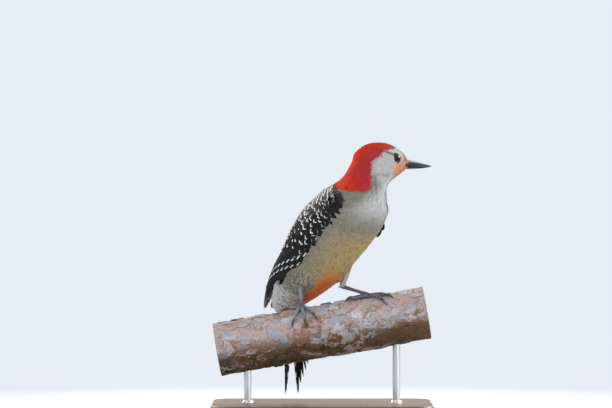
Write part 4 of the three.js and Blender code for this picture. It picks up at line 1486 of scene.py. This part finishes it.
# %% Eyes
tree, shader = new_material("eye", roughness=0.05, specular_ior_level=0.25)
rings = read_mark(tree, "iris")["Color"]
ring = split(tree, rings)
fibres = node(tree, "TexNoise", {"Vector": rings, "Scale": 9.0, "Detail": 3.0}).outputs["Fac"]
iris = blend(tree, fibres, rgb(0.008, 0.002, 0.002), rgb(0.026, 0.005, 0.004))
pupil = step_mask(tree, ring["Red"], 0.30, 0.33, True)
outer = step_mask(tree, ring["Red"], 0.50, 0.60)
coloured_eye = blend(tree, pupil, iris, rgb(0.002, 0.002, 0.002))
dress(tree, shader, blend(tree, outer, coloured_eye, rgb(0.006, 0.004, 0.004)))

tree, shader = new_material("lid", roughness=0.55, specular_ior_level=0.15)
pores = noise(tree, 2500.0, 2.0, 0.5)
dress(tree, shader, blend(tree, pores, rgb(0.008, 0.007, 0.007), rgb(0.022, 0.020, 0.020)), None, pores, 0.4)


def eye_ball(side):
    """A ball about the socket's centre, with a bulge in front: radius + 0.3 x exp(-(angle / 0.5) squared)."""
    rim, outward, ahead, up = eye_frame(side)
    centre_at = rim - outward * EYE_SINK
    polar = np.linspace(0.02, 2.2, 60)[:, None]
    around = np.linspace(0, 2 * math.pi, 73)[None, :-1]
    radius = EYE_RADIUS + 0.3 * bell(polar, 0.5) + 0 * around
    way = turned_by(polar, outward, turned_by(around, ahead, up))
    iris = stacked(polar / 1.6, 0.5 + 0.5 * np.cos(around), 0.5 + 0.5 * np.sin(around), 1.0)
    return tube_shape(centre_at + radius[..., None] * way, iris=iris)


LID_EDGE = 2.75


def eye_lid(side):
    """A ring round the opening: its section climbs from the coat, rounds over, and turns in on the ball.
    The ring is an oval, taller than long, and its inner edge keeps to the ball's surface."""
    rim, outward, ahead, up = eye_frame(side)
    around = np.linspace(0, 2 * math.pi, 97)[:-1, None]
    reach = np.array([4.1, 3.75, 3.45, 3.2, 3.05, 2.92, 2.8, 2.7, 2.72, 3.0, 3.6])[None]
    height = np.array([-1.4, -0.75, -0.35, -0.12, 0.0, 0.06, 0.03, -0.12, -0.4, -1.2, -1.9])[None]
    crinkle = 0.04 * np.sin(around * 22) * bell(reach - 2.8, 0.3)
    oval = 1 - 0.13 * np.cos(2 * around)
    edge_now = np.sqrt(EYE_RADIUS**2 - (LID_EDGE * oval) ** 2)
    follow = (edge_now - math.sqrt(EYE_RADIUS**2 - LID_EDGE**2)) * fade(2.9, 4.0, reach)
    flat = (reach * oval)[..., None] * turned_by(around, ahead, up)
    points = rim + flat + (height + crinkle + follow)[..., None] * outward
    made = shape(points.transpose(1, 0, 2), [grid_faces(reach.shape[1], len(around), True, True)])
    corner = made["points"][made["faces"][0][:, 0]]
    return face_out(made, rim + unit(corner - rim) * 3.1 - outward * 0.6)


for side in SIDES:
    piece(f"eye_ball_{side}", eye_ball(side), "eye", [f"eye_{side}"])
    piece(f"eye_lid_{side}", eye_lid(side), "lid")

# %% [markdown]
# ## Places on the branch
# A place on the branch is how far along it, how many degrees round from the top towards the viewer,
# and how high above the bark. That keeps each toe on the bark as it curls.

# %% Branch places
BRANCH_RADIUS = 20.2
BRANCH_RISE = math.radians(9.8)
BRANCH_HEIGHT = 69.5
BRANCH_HALF_LENGTH = 83.0
GAP = 0.3
TOE_RADIUS = 1.45
PAD_RADIUS = 1.9
CLAW_LENGTH = 6.6


def branch_place(distance, degrees, height):
    """A point at a distance along the branch, turned round its axis, at the bark's radius + height."""
    radius = BRANCH_RADIUS + height
    turn = np.radians(degrees)
    up = radius * np.cos(turn)
    x = distance * math.cos(BRANCH_RISE) - up * math.sin(BRANCH_RISE)
    z = BRANCH_HEIGHT + distance * math.sin(BRANCH_RISE) + up * math.cos(BRANCH_RISE)
    return stacked(x, -radius * np.sin(turn), z)


def carried(points, radii, rings, sides, tip=1.0):
    """A profile carried along a path: circles of the given radii at right angles to it, round at both ends.
    Returns middles, radii, share along, angles round, each ring's own two directions, and the distance."""
    points = np.asarray(points, float)
    radii = np.asarray(radii, float)[:, None]
    t = np.linspace(0, 1, rings)
    at = along(points, t * (len(points) - 1))
    radius = along(radii, t * (len(radii) - 1))[:, 0]
    ahead = unit(np.gradient(at, axis=0))
    reach = np.concatenate([[0], np.cumsum(norm(np.diff(at, axis=0)))])
    left = reach[-1] - reach
    dome = np.sqrt(np.clip(1 - (1 - np.clip(left / (radius * tip), 0, 1)) ** 2, 0.0004, 1))
    root = np.sqrt(np.clip(1 - (1 - np.clip(reach / radius, 0, 1)) ** 2, 0.0004, 1))
    radius = radius * dome * root
    one = unit(np.cross(ahead, [0.31, 0.2, 0.93]))
    two = np.cross(ahead, one)
    angle = np.linspace(0, 2 * math.pi, sides + 1)[:-1]
    return at, radius, t, angle, one, two, reach


def ringed(at, radius, angle, one, two, relief=0.0):
    """Places on the rings, with a relief added to the radius: at + radius x (one cos + two sin)."""
    size = (radius[:, None] + relief)[..., None]
    return at[:, None] + size * turned_by(angle[None], one[:, None], two[:, None])


# %% [markdown]
# ## Scaly legs and toes
# A bird's tarsus and toes are covered by scutes, plates that ring the front like tiles. They are real
# relief here: each ring steps out and slopes in again, a little out of line from side to side. The
# underside is browner, and a toe is thicker at its joints.

# %% Leg skin
tree, shader = new_material("leg_skin", roughness=0.6, specular_ior_level=0.2)
relief = read_mark(tree, "scute")["Color"]
scute = split(tree, relief)
grit = noise(tree, 1800.0, 3.0, 0.6)
# Painted light and shade: the mark's last part moves the plates from a shaded blue-black to a lit pale
# blue-grey.
tone = read_mark(tree, "scute")["Alpha"]
plate = blend(tree, tone, rgb(0.030, 0.036, 0.052), rgb(0.34, 0.365, 0.41))
plate = blend(tree, times(tree, grit, 0.5), plate, rgb(0.14, 0.14, 0.15))
plate = blend(tree, scaled(tree, scute["Red"], -0.5, 0.5), plate, rgb(0.035, 0.035, 0.042))
plate = blend(tree, times(tree, scute["Green"], 0.3), plate, rgb(0.20, 0.18, 0.155))
dress(tree, shader, plate, scaled(tree, grit, 0.3, 0.42), grit, 0.3)

tree, shader = new_material("claw_horn", roughness=0.28, specular_ior_level=0.5)
level = read_mark(tree, "horn")["Fac"]
streak = noise(tree, 1500.0, 2.0, 0.5)
claw = blend(tree, streak, rgb(0.032, 0.026, 0.024), rgb(0.07, 0.058, 0.052))
dress(tree, shader, blend(tree, level, claw, rgb(0.02, 0.019, 0.02)), scaled(tree, streak, 0.2, 0.2))


def scaly_tube(points, radii, rings, sides, pitch, height, joints, light_and_shade):
    """A carried tube whose radius swells as height x a saw of the distance over the pitch, plus the joints.
    The last argument runs from dark (0) to pale (1) along it, as painted shade and painted light."""
    at, radius, t, angle, one, two, reach = carried(points, radii, rings, sides)
    for place, size in joints:
        radius = radius * (1 + size * bell(t - place, 0.05))
    shift = 0.22 * np.sin(angle * 2 + 1.0)[None]
    phase = (reach[:, None] / pitch + shift) % 1
    saw = smooth(0.0, 0.25, phase) * (1 - 0.6 * phase)
    groove = 1 - 0.5 * bell(np.sin(angle * 1.5 + 0.4), 0.2)[None]
    swell = height * (saw * groove - 0.4) * np.minimum(radius[:, None], 1)
    places = ringed(at, radius, angle, one, two, swell)
    under = np.clip(-(places[..., 2] - at[:, None, 2]) / np.maximum(radius[:, None], 0.1), 0, 1)
    tone = np.interp(t, np.linspace(0, 1, len(light_and_shade)), light_and_shade)[:, None]
    mark = stacked(saw * groove, under, phase, tone)
    return tube_shape(places, scute=mark)


# along the tarsus from heel to foot, along a toe, and the knuckle between them: 0 is painted shade, 1 painted
# light
# The legs are one grey: the dark and pale stretches along each, and the darker left leg, are painted light
# and shade.
LEG_LIGHT_AND_SHADE = {
    "right": ((0.0, 0.1, 0.5, 0.95, 0.95, 0.5, 0.05), (0.35, 0.75, 0.6), (0.05, 0.05)),
    "left": ((0.1, 0.25, 0.35, 0.3, 0.3), (0.35, 0.4, 0.3), (0.2, 0.2)),
}


def leg_parts(side, leg):
    """Tarsus from heel to foot, four toes over the bark, and a claw at each toe's end."""
    foot = branch_place(*leg["foot"], PAD_RADIUS + GAP)
    heel = np.array(leg["heel"])
    middle = (heel + foot) / 2
    start_at = heel + unit(heel - foot) * 1.3
    tarsus_light_and_shade, toe_light_and_shade, knuckle_light_and_shade = LEG_LIGHT_AND_SHADE[side]
    shin = [start_at, heel, middle, foot]
    tarsus = scaly_tube(shin, [1.9, 1.75, 1.25, 1.7], 90, 28, 1.25, 0.16, (), tarsus_light_and_shade)
    short = [foot + (0, 0, 1.6), foot, foot - (0, 0, 0.1)]
    knuckle = scaly_tube(short, [1.9, 2.0, 1.7], 16, 28, 1.5, 0.08, (), knuckle_light_and_shade)
    toes = [knuckle]
    for k, path in enumerate(leg["toes"]):
        on_bark = branch_place(path[:, 0], path[:, 1], TOE_RADIUS + GAP)
        joints = ((0.33, 0.10), (0.66, 0.10), (0.97, 0.08))
        toes.append(scaly_tube(on_bark, [1.45, 1.3, 1.25, 1.0], 64, 24, 1.15, 0.15, joints, toe_light_and_shade))
        claw(side, k, path)
    piece(f"tarsus_{side}_scaly", tarsus, "leg_skin", [f"tarsus_{side}"])
    piece(f"toes_{side}_scaly", joined(toes), "leg_skin", [f"toes_{side}"])


def claw(side, k, path):
    """A curved horn from the toe's end: it rises, bends over and comes down to a point on the bark."""
    step = path[-1] - path[-2]
    size = math.hypot(step[0], math.radians(step[1]) * BRANCH_RADIUS)
    shares = np.array([-0.12, 0.25, 0.6, 0.85, 0.97])
    heights = np.array([1.75, 2.35, 2.0, 1.15, 0.45])
    steps = path[-1] + step * (shares * CLAW_LENGTH / size)[:, None]
    points = branch_place(steps[:, 0], steps[:, 1], heights)
    at, radius, t, angle, one, two, _ = carried(points, [0.95, 0.95, 0.75, 0.45, 0.12], 40, 20, 0.4)
    deep = 1 + 0.12 * np.abs(np.sin(angle))[None] * radius[:, None]
    places = ringed(at, radius, angle, one, two, (deep - 1) * 0.8)
    horn = np.repeat(t[:, None, None], 20, 1) * np.ones(4)
    name = f"claw_{side}_{k + 1}"
    piece(name + "_horn", tube_shape(places, horn=horn), "claw_horn", [name])


for side, leg in LEGS.items():
    leg_parts(side, leg)

# %% [markdown]
# ## Bark
# A pine branch sheds its bark in thin layers with ragged edges. The relief is built the same way: a
# layer is there where an uneven field is above a level and gone where it is below, so its edge is a
# step, which curls up a little. The bark's colour later follows how many layers are left. Under the
# toes the relief stays low, so that the feet rest on it.

# %% Bark surface
ARC = 2 * math.pi * BRANCH_RADIUS


def off_toes(at, turn, steps):
    """Millimetres over the bark from a place to the nearest of so many spots along each toe."""
    nearest = np.full(np.shape(at), 99.0)
    for leg in LEGS.values():
        for path in leg["toes"]:
            for spot in np.linspace(0, 1, steps):
                place = along(path, spot * 3)
                apart = np.hypot(at - place[0], ((turn - place[1] + 180) % 360 - 180) / 360 * ARC)
                nearest = np.minimum(nearest, apart)
    return nearest


def field(points, seed, longest, shortest, count=22):
    """An uneven field in space, about -2 to 2: a sum of sine waves in random directions, whose lengths
    run from longest to shortest in millimetres and which are weaker as they get shorter."""
    rng = default_rng(seed)
    lengths = np.geomspace(longest, shortest, count)
    total = np.zeros(points.shape[:-1])
    for length in lengths:
        way = unit(rng.standard_normal(3)) * 2 * math.pi / length
        total = total + (length / longest) ** 0.75 * np.sin(points @ way + rng.uniform(0, 2 * math.pi))
    return total / math.sqrt(0.5 * np.sum((lengths / longest) ** 1.5))


# seed, size of the patches in mm, level below which the layer is gone, thickness in mm
BARK_LAYERS = [(5, 34.0, -0.7, 0.42), (6, 24.0, -0.1, 0.40), (7, 17.0, 0.3, 0.34), (8, 11.0, 0.8, 0.26)]

bark_rows = 310
bark_round = 264
reach = np.linspace(-BRANCH_HALF_LENGTH, BRANCH_HALF_LENGTH, bark_rows)
reach, turn = spread(reach, np.linspace(0, 360, bark_round + 1)[:-1])
round_y = BRANCH_RADIUS * np.sin(np.radians(turn))
round_z = BRANCH_RADIUS * np.cos(np.radians(turn))
on_bark = stacked(reach / 1.5, round_y, round_z)
ragged = stacked(*(field(on_bark, 31 + k, 9.0, 2.0, 14) for k in range(3)))
bend = on_bark + 0.9 * ragged
layers_left = np.zeros(reach.shape)
step_shade = np.zeros(reach.shape)
relief = -0.72 + 0.25 * field(on_bark, 12, 70.0, 24.0) + 0.05 * field(on_bark, 13, 4.0, 1.2, 16)
for seed, size, gone, thick in BARK_LAYERS:
    level = field(bend, seed, size, size / 7)
    here = smooth(gone - 0.05, gone + 0.05, level)
    curl = bell(level - gone - 0.13, 0.11)
    relief = relief + thick * (here + 0.25 * curl)
    layers_left = layers_left + here / len(BARK_LAYERS)
    # Painted shade: a dark band at the foot of each layer's step stands for the shade under its curled lip.
    step_shade = np.maximum(step_shade, bell(level - gone + 0.06, 0.06))
tint = 0.5 + 0.2 * field(bend, 21, 26.0, 3.0)
grey = 0.5 + 0.2 * field(bend, 22, 40.0, 5.0)
on_top = np.cos(np.radians(turn))
UNDER_TOES = 0.12
away = smooth(2.0, 5.5, off_toes(reach, turn, 12))
relief = np.where(relief > UNDER_TOES, UNDER_TOES + (relief - UNDER_TOES) * away, relief)
relief = np.minimum(relief, 0.9)
bark_mark = np.clip(stacked(layers_left, step_shade, tint, 1.0), 0, 1)
# The first part of this mark says how near the top of the branch a place is; the bark material darkens the
# lower side with it, partly as painted shade.
bark_face = np.clip(stacked(0.5 + 0.5 * on_top, 0.5 + relief / 2, grey, 1.0), 0, 1)
print("bark relief mm:", relief.min().round(2), "to", relief.max().round(2))

# %% [markdown]
# ## The cut branch
# The perch is cut from a longer branch, so both ends show sawn wood: a flat face with year rings, faint
# saw lines and the bark's rim. Side and ends are one closed surface, whose rows run from the middle of
# one end, out over the rim, along the bark and in again.

# %% Branch piece
tree, shader = new_material("bark", specular_ior_level=0.1)
first = read_mark(tree, "bark_mark")
second = read_mark(tree, "bark_face")
plates = split(tree, first["Color"])
faces_in = split(tree, second["Color"])
stain = noise(tree, 60.0, 4.0, 0.6)
speck = noise(tree, 700.0, 4.0, 0.65)
fibre = noise(tree, 500.0, 4.0, 0.6, (0.3, 1.0, 1.0))
pick = calc(tree, "ADD", plates["Red"], scaled(tree, speck, 0.24, -0.12))
ramp = node(tree, "ValToRGB", {"Fac": pick})
stops = ramp.color_ramp.elements
stops[0].position = 0.05
stops[0].color = rgb(0.26, 0.125, 0.065)
stops[1].position = 0.95
stops[1].color = rgb(0.53, 0.49, 0.50)
stops.new(0.28).color = rgb(0.36, 0.225, 0.155)
stops.new(0.5).color = rgb(0.42, 0.325, 0.295)
stops.new(0.74).color = rgb(0.43, 0.39, 0.395)
tone = blend(tree, step_mask(tree, plates["Blue"], 0.45, 0.85), ramp.outputs["Color"], rgb(0.47, 0.35, 0.33))
tone = blend(tree, step_mask(tree, faces_in["Blue"], 0.55, 0.9), tone, rgb(0.37, 0.37, 0.42))
# Painted shade in part: the lower side of the branch turns a dark brown, partly the bark's own brown and
# olive and partly shade; height here is how near the top a place is.
height = calc(tree, "ADD", faces_in["Red"], scaled(tree, stain, 0.3, -0.15))
low_side_and_shade = step_mask(tree, height, 0.26, 0.66, True)
brown_and_shade = blend(tree, step_mask(tree, stain, 0.42, 0.62), rgb(0.105, 0.042, 0.006), rgb(0.045, 0.030, 0.006))
tone = blend(tree, times(tree, low_side_and_shade, 0.9), tone, brown_and_shade)
pale_edge = step_mask(tree, faces_in["Green"], 0.62, 0.85)
tone = blend(tree, times(tree, pale_edge, 0.35), tone, rgb(0.60, 0.55, 0.54))
# the dark band at each step's foot is painted shade
tone = blend(tree, times(tree, plates["Green"], 0.5), tone, rgb(0.10, 0.05, 0.03))
light = scaled(tree, speck, 0.7, 0.62)
light = times(tree, light, scaled(tree, fibre, 0.35, 0.83))
tone = lit(tree, tone, light)
from_axis = read_mark(tree, "sawn")
sawn = split(tree, from_axis["Color"])
year = calc(tree, "SINE", scaled(tree, sawn["Green"], 70.0, times(tree, stain, 7.0)))
wood = blend(tree, scaled(tree, year, 0.5, 0.5), rgb(0.50, 0.34, 0.18), rgb(0.66, 0.50, 0.30))
wood = lit(tree, wood, scaled(tree, speck, 0.4, 0.78))
tone = blend(tree, sawn["Red"], tone, wood)
dress(tree, shader, tone, scaled(tree, speck, 0.25, 0.68), calc(tree, "ADD", speck, fibre), 0.5, 0.0004)

cap_rows = 26
share = np.linspace(0.03, 0.985, cap_rows)[:, None] + 0 * turn[:1]
saw_line = 0.05 * np.sin(share * 20 * np.cos(np.radians(turn[:1])) * 3)
bark_lip = 0.25 * smooth(0.90, 0.97, share)


def sawn_end(sign, edge_relief):
    """The rings of a cut face from its middle out to the rim."""
    radius = share * (BRANCH_RADIUS + edge_relief[None] * 0.7) - BRANCH_RADIUS
    return branch_place(sign * (BRANCH_HALF_LENGTH - 0.05 + saw_line - bark_lip), turn[:1], radius)


def with_ends(mark):
    """A mark of the bark, carried on over both cut faces from its edge."""
    wide = (cap_rows, bark_round, 4)
    return np.concatenate([np.broadcast_to(mark[:1], wide), mark, np.broadcast_to(mark[-1:], wide)])


side_places = branch_place(reach, turn, relief)
all_rows = np.concatenate([sawn_end(-1, relief[0]), side_places, sawn_end(1, relief[-1])[::-1]])
wood_face = stacked((share < 0.93) * 1.0, share, share, share)
sawn_mark = np.concatenate([wood_face, np.zeros((bark_rows, bark_round, 4)), wood_face[::-1]])
marks = {"bark_mark": with_ends(bark_mark), "bark_face": with_ends(bark_face), "sawn": sawn_mark}
perch_shape = tube_shape(all_rows, **marks)
print("branch points:", len(perch_shape["points"]))

# %% [markdown]
# ## The stand
# A plain oiled hardwood base with softened edges, and two brushed steel rods, each with a small collar,
# that hold the branch. The base is a rounded rectangle carried up through a small profile. The places
# are read from the frame's own boxes.

# %% Stand
tree, shader = new_material("base_wood", specular_ior_level=0.4, coat_weight=0.15, coat_roughness=0.35)
grain = noise(tree, 28.0, 5.0, 0.6, (0.35, 5.0, 5.0))
pore = noise(tree, 1500.0, 3.0, 0.5, (0.06, 1.0, 1.0))
walnut = blend(tree, step_mask(tree, grain, 0.32, 0.68), rgb(0.085, 0.045, 0.024), rgb(0.23, 0.135, 0.075))
walnut = blend(tree, times(tree, step_mask(tree, pore, 0.58, 0.7), 0.55), walnut, rgb(0.045, 0.024, 0.013))
dress(tree, shader, walnut, scaled(tree, grain, 0.25, 0.32), pore, 0.2)

tree, shader = new_material("rod_steel", metallic=1.0)
brush = noise(tree, 3500.0, 3.0, 0.6, (1.0, 1.0, 0.02))
steel = blend(tree, brush, rgb(0.50, 0.50, 0.51), rgb(0.68, 0.68, 0.69))
dress(tree, shader, steel, scaled(tree, brush, 0.18, 0.24), brush, 0.15, 0.00005)


def box_mm(name):
    """A node's lowest and highest corner in millimetres."""
    low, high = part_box(name)
    return np.array(low) / MM, np.array(high) / MM


def rounded_slab(low, high, corner, edge):
    """A rectangle with quarter-circle corners, carried up a profile that is itself rounded at both edges."""
    arc = np.linspace(0, math.pi / 2, 15)
    half = (high - low)[:2] / 2
    middle = (high + low)[:2] / 2
    quarter = stacked(np.cos(arc), np.sin(arc))
    signs = [(1, 1), (-1, 1), (-1, -1), (1, -1)]
    turns = [quarter[::x * y] * (x, y) for x, y in signs]
    round_edge = np.linspace(0, math.pi / 2, 7)
    less_sin = edge * (1 - np.sin(round_edge))
    less_cos = edge * (1 - np.cos(round_edge))
    tall = high[2] - low[2]
    inner = np.array([2.0, 6.0, 14.0, 30.0, 44.0])
    inset = np.concatenate([inner[::-1] + edge, less_sin, less_cos, inner + edge])
    rise = np.concatenate([0 * inner, less_cos, tall - less_sin, 0 * inner + tall])
    rings = []
    for cut, up in zip(inset, rise):
        radius = max(corner - cut, 0.4)
        flat = half - cut - radius
        outline = np.concatenate([np.array(s) * flat + t * radius for s, t in zip(signs, turns)]) + middle
        rings.append(np.concatenate([outline, np.full((len(outline), 1), low[2] + up)], 1))
    return tube_shape(np.array(rings))


base_low, base_high = box_mm("stand_base")
piece("base_board", rounded_slab(base_low, base_high, 16.0, 1.6), "base_wood", ["stand_base"])


def upright(name, middle, heights, rings, wide, stands_for=()):
    """A round upright piece of steel; wide gives its radius by the share of its height."""
    ends = np.array([(middle[0], middle[1], z) for z in heights])
    at, _, share, angle, one, two, _ = carried(ends, [1.0, 1.0, 1.0], rings, 40)
    piece(name, tube_shape(ringed(at, wide(share), angle, one, two)), "rod_steel", stands_for)


ROD_RADIUS = 3.0
for number in (1, 2):
    low, high = box_mm(f"stand_rod_{number}")
    middle = (low + high) / 2
    rod = (low[2], middle[2], high[2])
    upright(f"rod_{number}", middle, rod, 24, lambda t: 0 * t + ROD_RADIUS, [f"stand_rod_{number}"])
    collar = [base_high[2] + z for z in (-0.6, 0.6, 1.8)]
    upright(f"rod_collar_{number}", middle, collar, 16, lambda t: 4.5 - 0.9 * smooth(0.3, 1.0, t))

piece("perch_bark", perch_shape, "bark", ["perch"])

# %% [markdown]
# ## Loose flakes of bark
# Some thin flakes have let go at one edge. Each is a small curved sheet that follows the bark, lifted
# along one side, and given a real thickness.

# %% Flakes
rng = default_rng(81)
flakes = 90
rows, columns = 7, 6
middle_at = rng.uniform(-79, 79, flakes)
middle_turn = rng.uniform(-100, 200, flakes)
keep = off_toes(middle_at, middle_turn, 3) > 8.5
middle_at, middle_turn = (a[keep][:, None, None] for a in (middle_at, middle_turn))
n = len(middle_at)
p = np.linspace(-1, 1, rows)[None, :, None]
q = np.linspace(-1, 1, columns)[None, None]
long_half = rng.uniform(2.4, 5.5, (n, 1, 1))
wide_half = rng.uniform(1.6, 3.4, (n, 1, 1))
ragged = 0.22 * np.sin(5 * p + rng.uniform(0, 6, (n, 1, 1)))
ragged = 1 + ragged * np.sin(4 * q + rng.uniform(0, 6, (n, 1, 1)))
narrow = np.sqrt(1 - 0.55 * p**2)
along_at = middle_at + long_half * p * ragged * np.sqrt(1 - 0.4 * q**2)
turn_at = middle_turn + np.degrees(wide_half * q * narrow * ragged / BRANCH_RADIUS)
lifted = rng.uniform(0.3, 1.3, (n, 1, 1)) * ((q * rng.choice([-1, 1], (n, 1, 1)) + 1) / 2) ** 2
height = 0.15 + lifted + 0.12 * p**2
flake_points = branch_place(along_at, turn_at, height)
faces = (grid_faces(rows, columns)[None] + np.arange(n)[:, None, None] * rows * columns).reshape(-1, 4)
tone = rng.random((n, 1, 1)) * np.ones((1, rows, columns))
on_top = np.clip(0.5 + 0.5 * np.cos(np.radians(turn_at)), 0, 1)
flake_marks = {
    "bark_mark": stacked(0.5 + 0.5 * tone, 0.0, 0.2 + 0.6 * tone, tone).reshape(-1, 4),
    # on_top darkens a flake on the branch's lower side, partly as painted shade, as on the bark.
    "bark_face": stacked(on_top, 0.35 + 0.3 * (np.abs(q) > 0.9), tone, tone).reshape(-1, 4),
    "sawn": np.zeros((n * rows * columns, 4)),
}
flake_shape = shape(flake_points, [faces], **flake_marks)
face_out(flake_shape, branch_place(0.0, 0.0, -BRANCH_RADIUS))
thicken(piece("bark_flakes", flake_shape, "bark"), thickness=0.3)
print("flakes:", n)

# %% [markdown]
# ## Room, light and camera
# The model stands on a plain floor that fades into the surroundings' own pale tone, so no horizon shows
# from any side, yet the floor near the base keeps its shadow. The light is a soft studio: an even
# surround, a broad key from the upper left, a fill from the right, and two lamps behind that edge the
# head and back. A small lamp, kept out of the diffuse light, gives the glint in the eye.
# The camera looks level from 2.6 m away through a long lens, which takes in 0.4774 m at the model.

# %% Floor and surroundings
def seen_directly(tree):
    """1 for rays from the camera, and for those that a shiny or clear surface sends on."""
    paths = node(tree, "LightPath").outputs
    sent_on = calc(tree, "MAXIMUM", paths["Is Glossy Ray"], paths["Is Transmission Ray"])
    return calc(tree, "MAXIMUM", paths["Is Camera Ray"], sent_on)


BACKDROP = rgb(0.80, 0.845, 0.90)
tree, shader = new_material("floor", base_color=rgb(0.80, 0.82, 0.85), roughness=0.9, specular_ior_level=0.1)
where = node(tree, "TexCoord").outputs["Object"]
distance = node(tree, "VectorMath", {0: where}, operation="LENGTH").outputs["Value"]
seen = seen_directly(tree)
fade = times(tree, step_mask(tree, distance, 0.16, 0.55), seen)
glow = node(tree, "Emission", {"Color": BACKDROP, "Strength": 1.0})
mixed = node(tree, "MixShader", {0: fade, 1: shader.outputs[0], 2: glow.outputs[0]})
tree.links.new(mixed.outputs[0], tree.nodes["Material Output"].inputs["Surface"])

rings = np.array([0.001, 0.15, 0.4, 1.0, 4.0, 20.0])[:, None] / MM
turns = np.linspace(0, 2 * math.pi, 65)[None, :-1]
disc = stacked(rings * np.cos(turns), rings * np.sin(turns), 0.0)
floor_mesh = bpy.data.meshes.new("floor")
floor_mesh.from_pydata((disc.reshape(-1, 3) * MM).tolist(), [], grid_faces(6, 64, True)[:, ::-1].tolist())
floor_mesh.materials.append(materials["floor"])
floor = placed("floor", floor_mesh)

world = bpy.data.worlds.new("surround")
world.use_nodes = True
scene.world = world
tree = world.node_tree
background = tree.nodes["Background"]
seen = seen_directly(tree)
tree.links.new(blend(tree, seen, rgb(0.78, 0.84, 0.93), BACKDROP), background.inputs["Color"])
tree.links.new(scaled(tree, seen, 0.3, 0.7), background.inputs["Strength"])


def soft_lamp(name, place, target, size, power, colour):
    """A square area lamp at a place in metres, turned to face a target."""
    lamp = bpy.data.lights.new(name, "AREA")
    lamp.shape = "SQUARE"
    lamp.size = size
    lamp.energy = power
    lamp.color = colour
    obj = placed(name, lamp)
    obj.location = place
    way = np.array(target) - np.array(place)
    obj.rotation_euler = Vector(way).to_track_quat("-Z", "Y").to_euler()
    obj.visible_camera = False
    return obj


TARGET = (0.0, 0.0, 0.14)
soft_lamp("key", (-0.7, -1.2, 1.3), TARGET, 0.9, 11.0, (1.0, 0.98, 0.95))
soft_lamp("fill", (1.3, -0.9, 0.5), TARGET, 1.0, 9.0, (0.90, 0.95, 1.0))
soft_lamp("back_left", (-0.8, 1.0, 0.9), TARGET, 0.5, 16.0, (1.0, 0.93, 0.84))
glint = soft_lamp("glint", (0.76, 0.26, 0.6), (0.06, -0.02, 0.2047), 0.36, 16.0, (1.0, 1.0, 1.0))
glint.visible_diffuse = False
soft_lamp("back_right", (0.9, 0.9, 0.8), TARGET, 0.5, 12.0, (1.0, 0.97, 0.93))

scene.view_settings.view_transform = "Standard"

# %% Camera
camera_data = bpy.data.cameras.new("camera")
SENSOR = 36.0
DISTANCE = 2.6
VIEW_WIDTH = 0.4774
camera_data.sensor_width = SENSOR
camera_data.lens = SENSOR * DISTANCE / VIEW_WIDTH
camera_data.clip_start = 0.1
camera_data.clip_end = 100.0
camera = placed("camera", camera_data)
camera.location = (-0.0125, -DISTANCE, 0.1688)
camera.rotation_euler = (math.radians(90), 0, 0)
scene.camera = camera
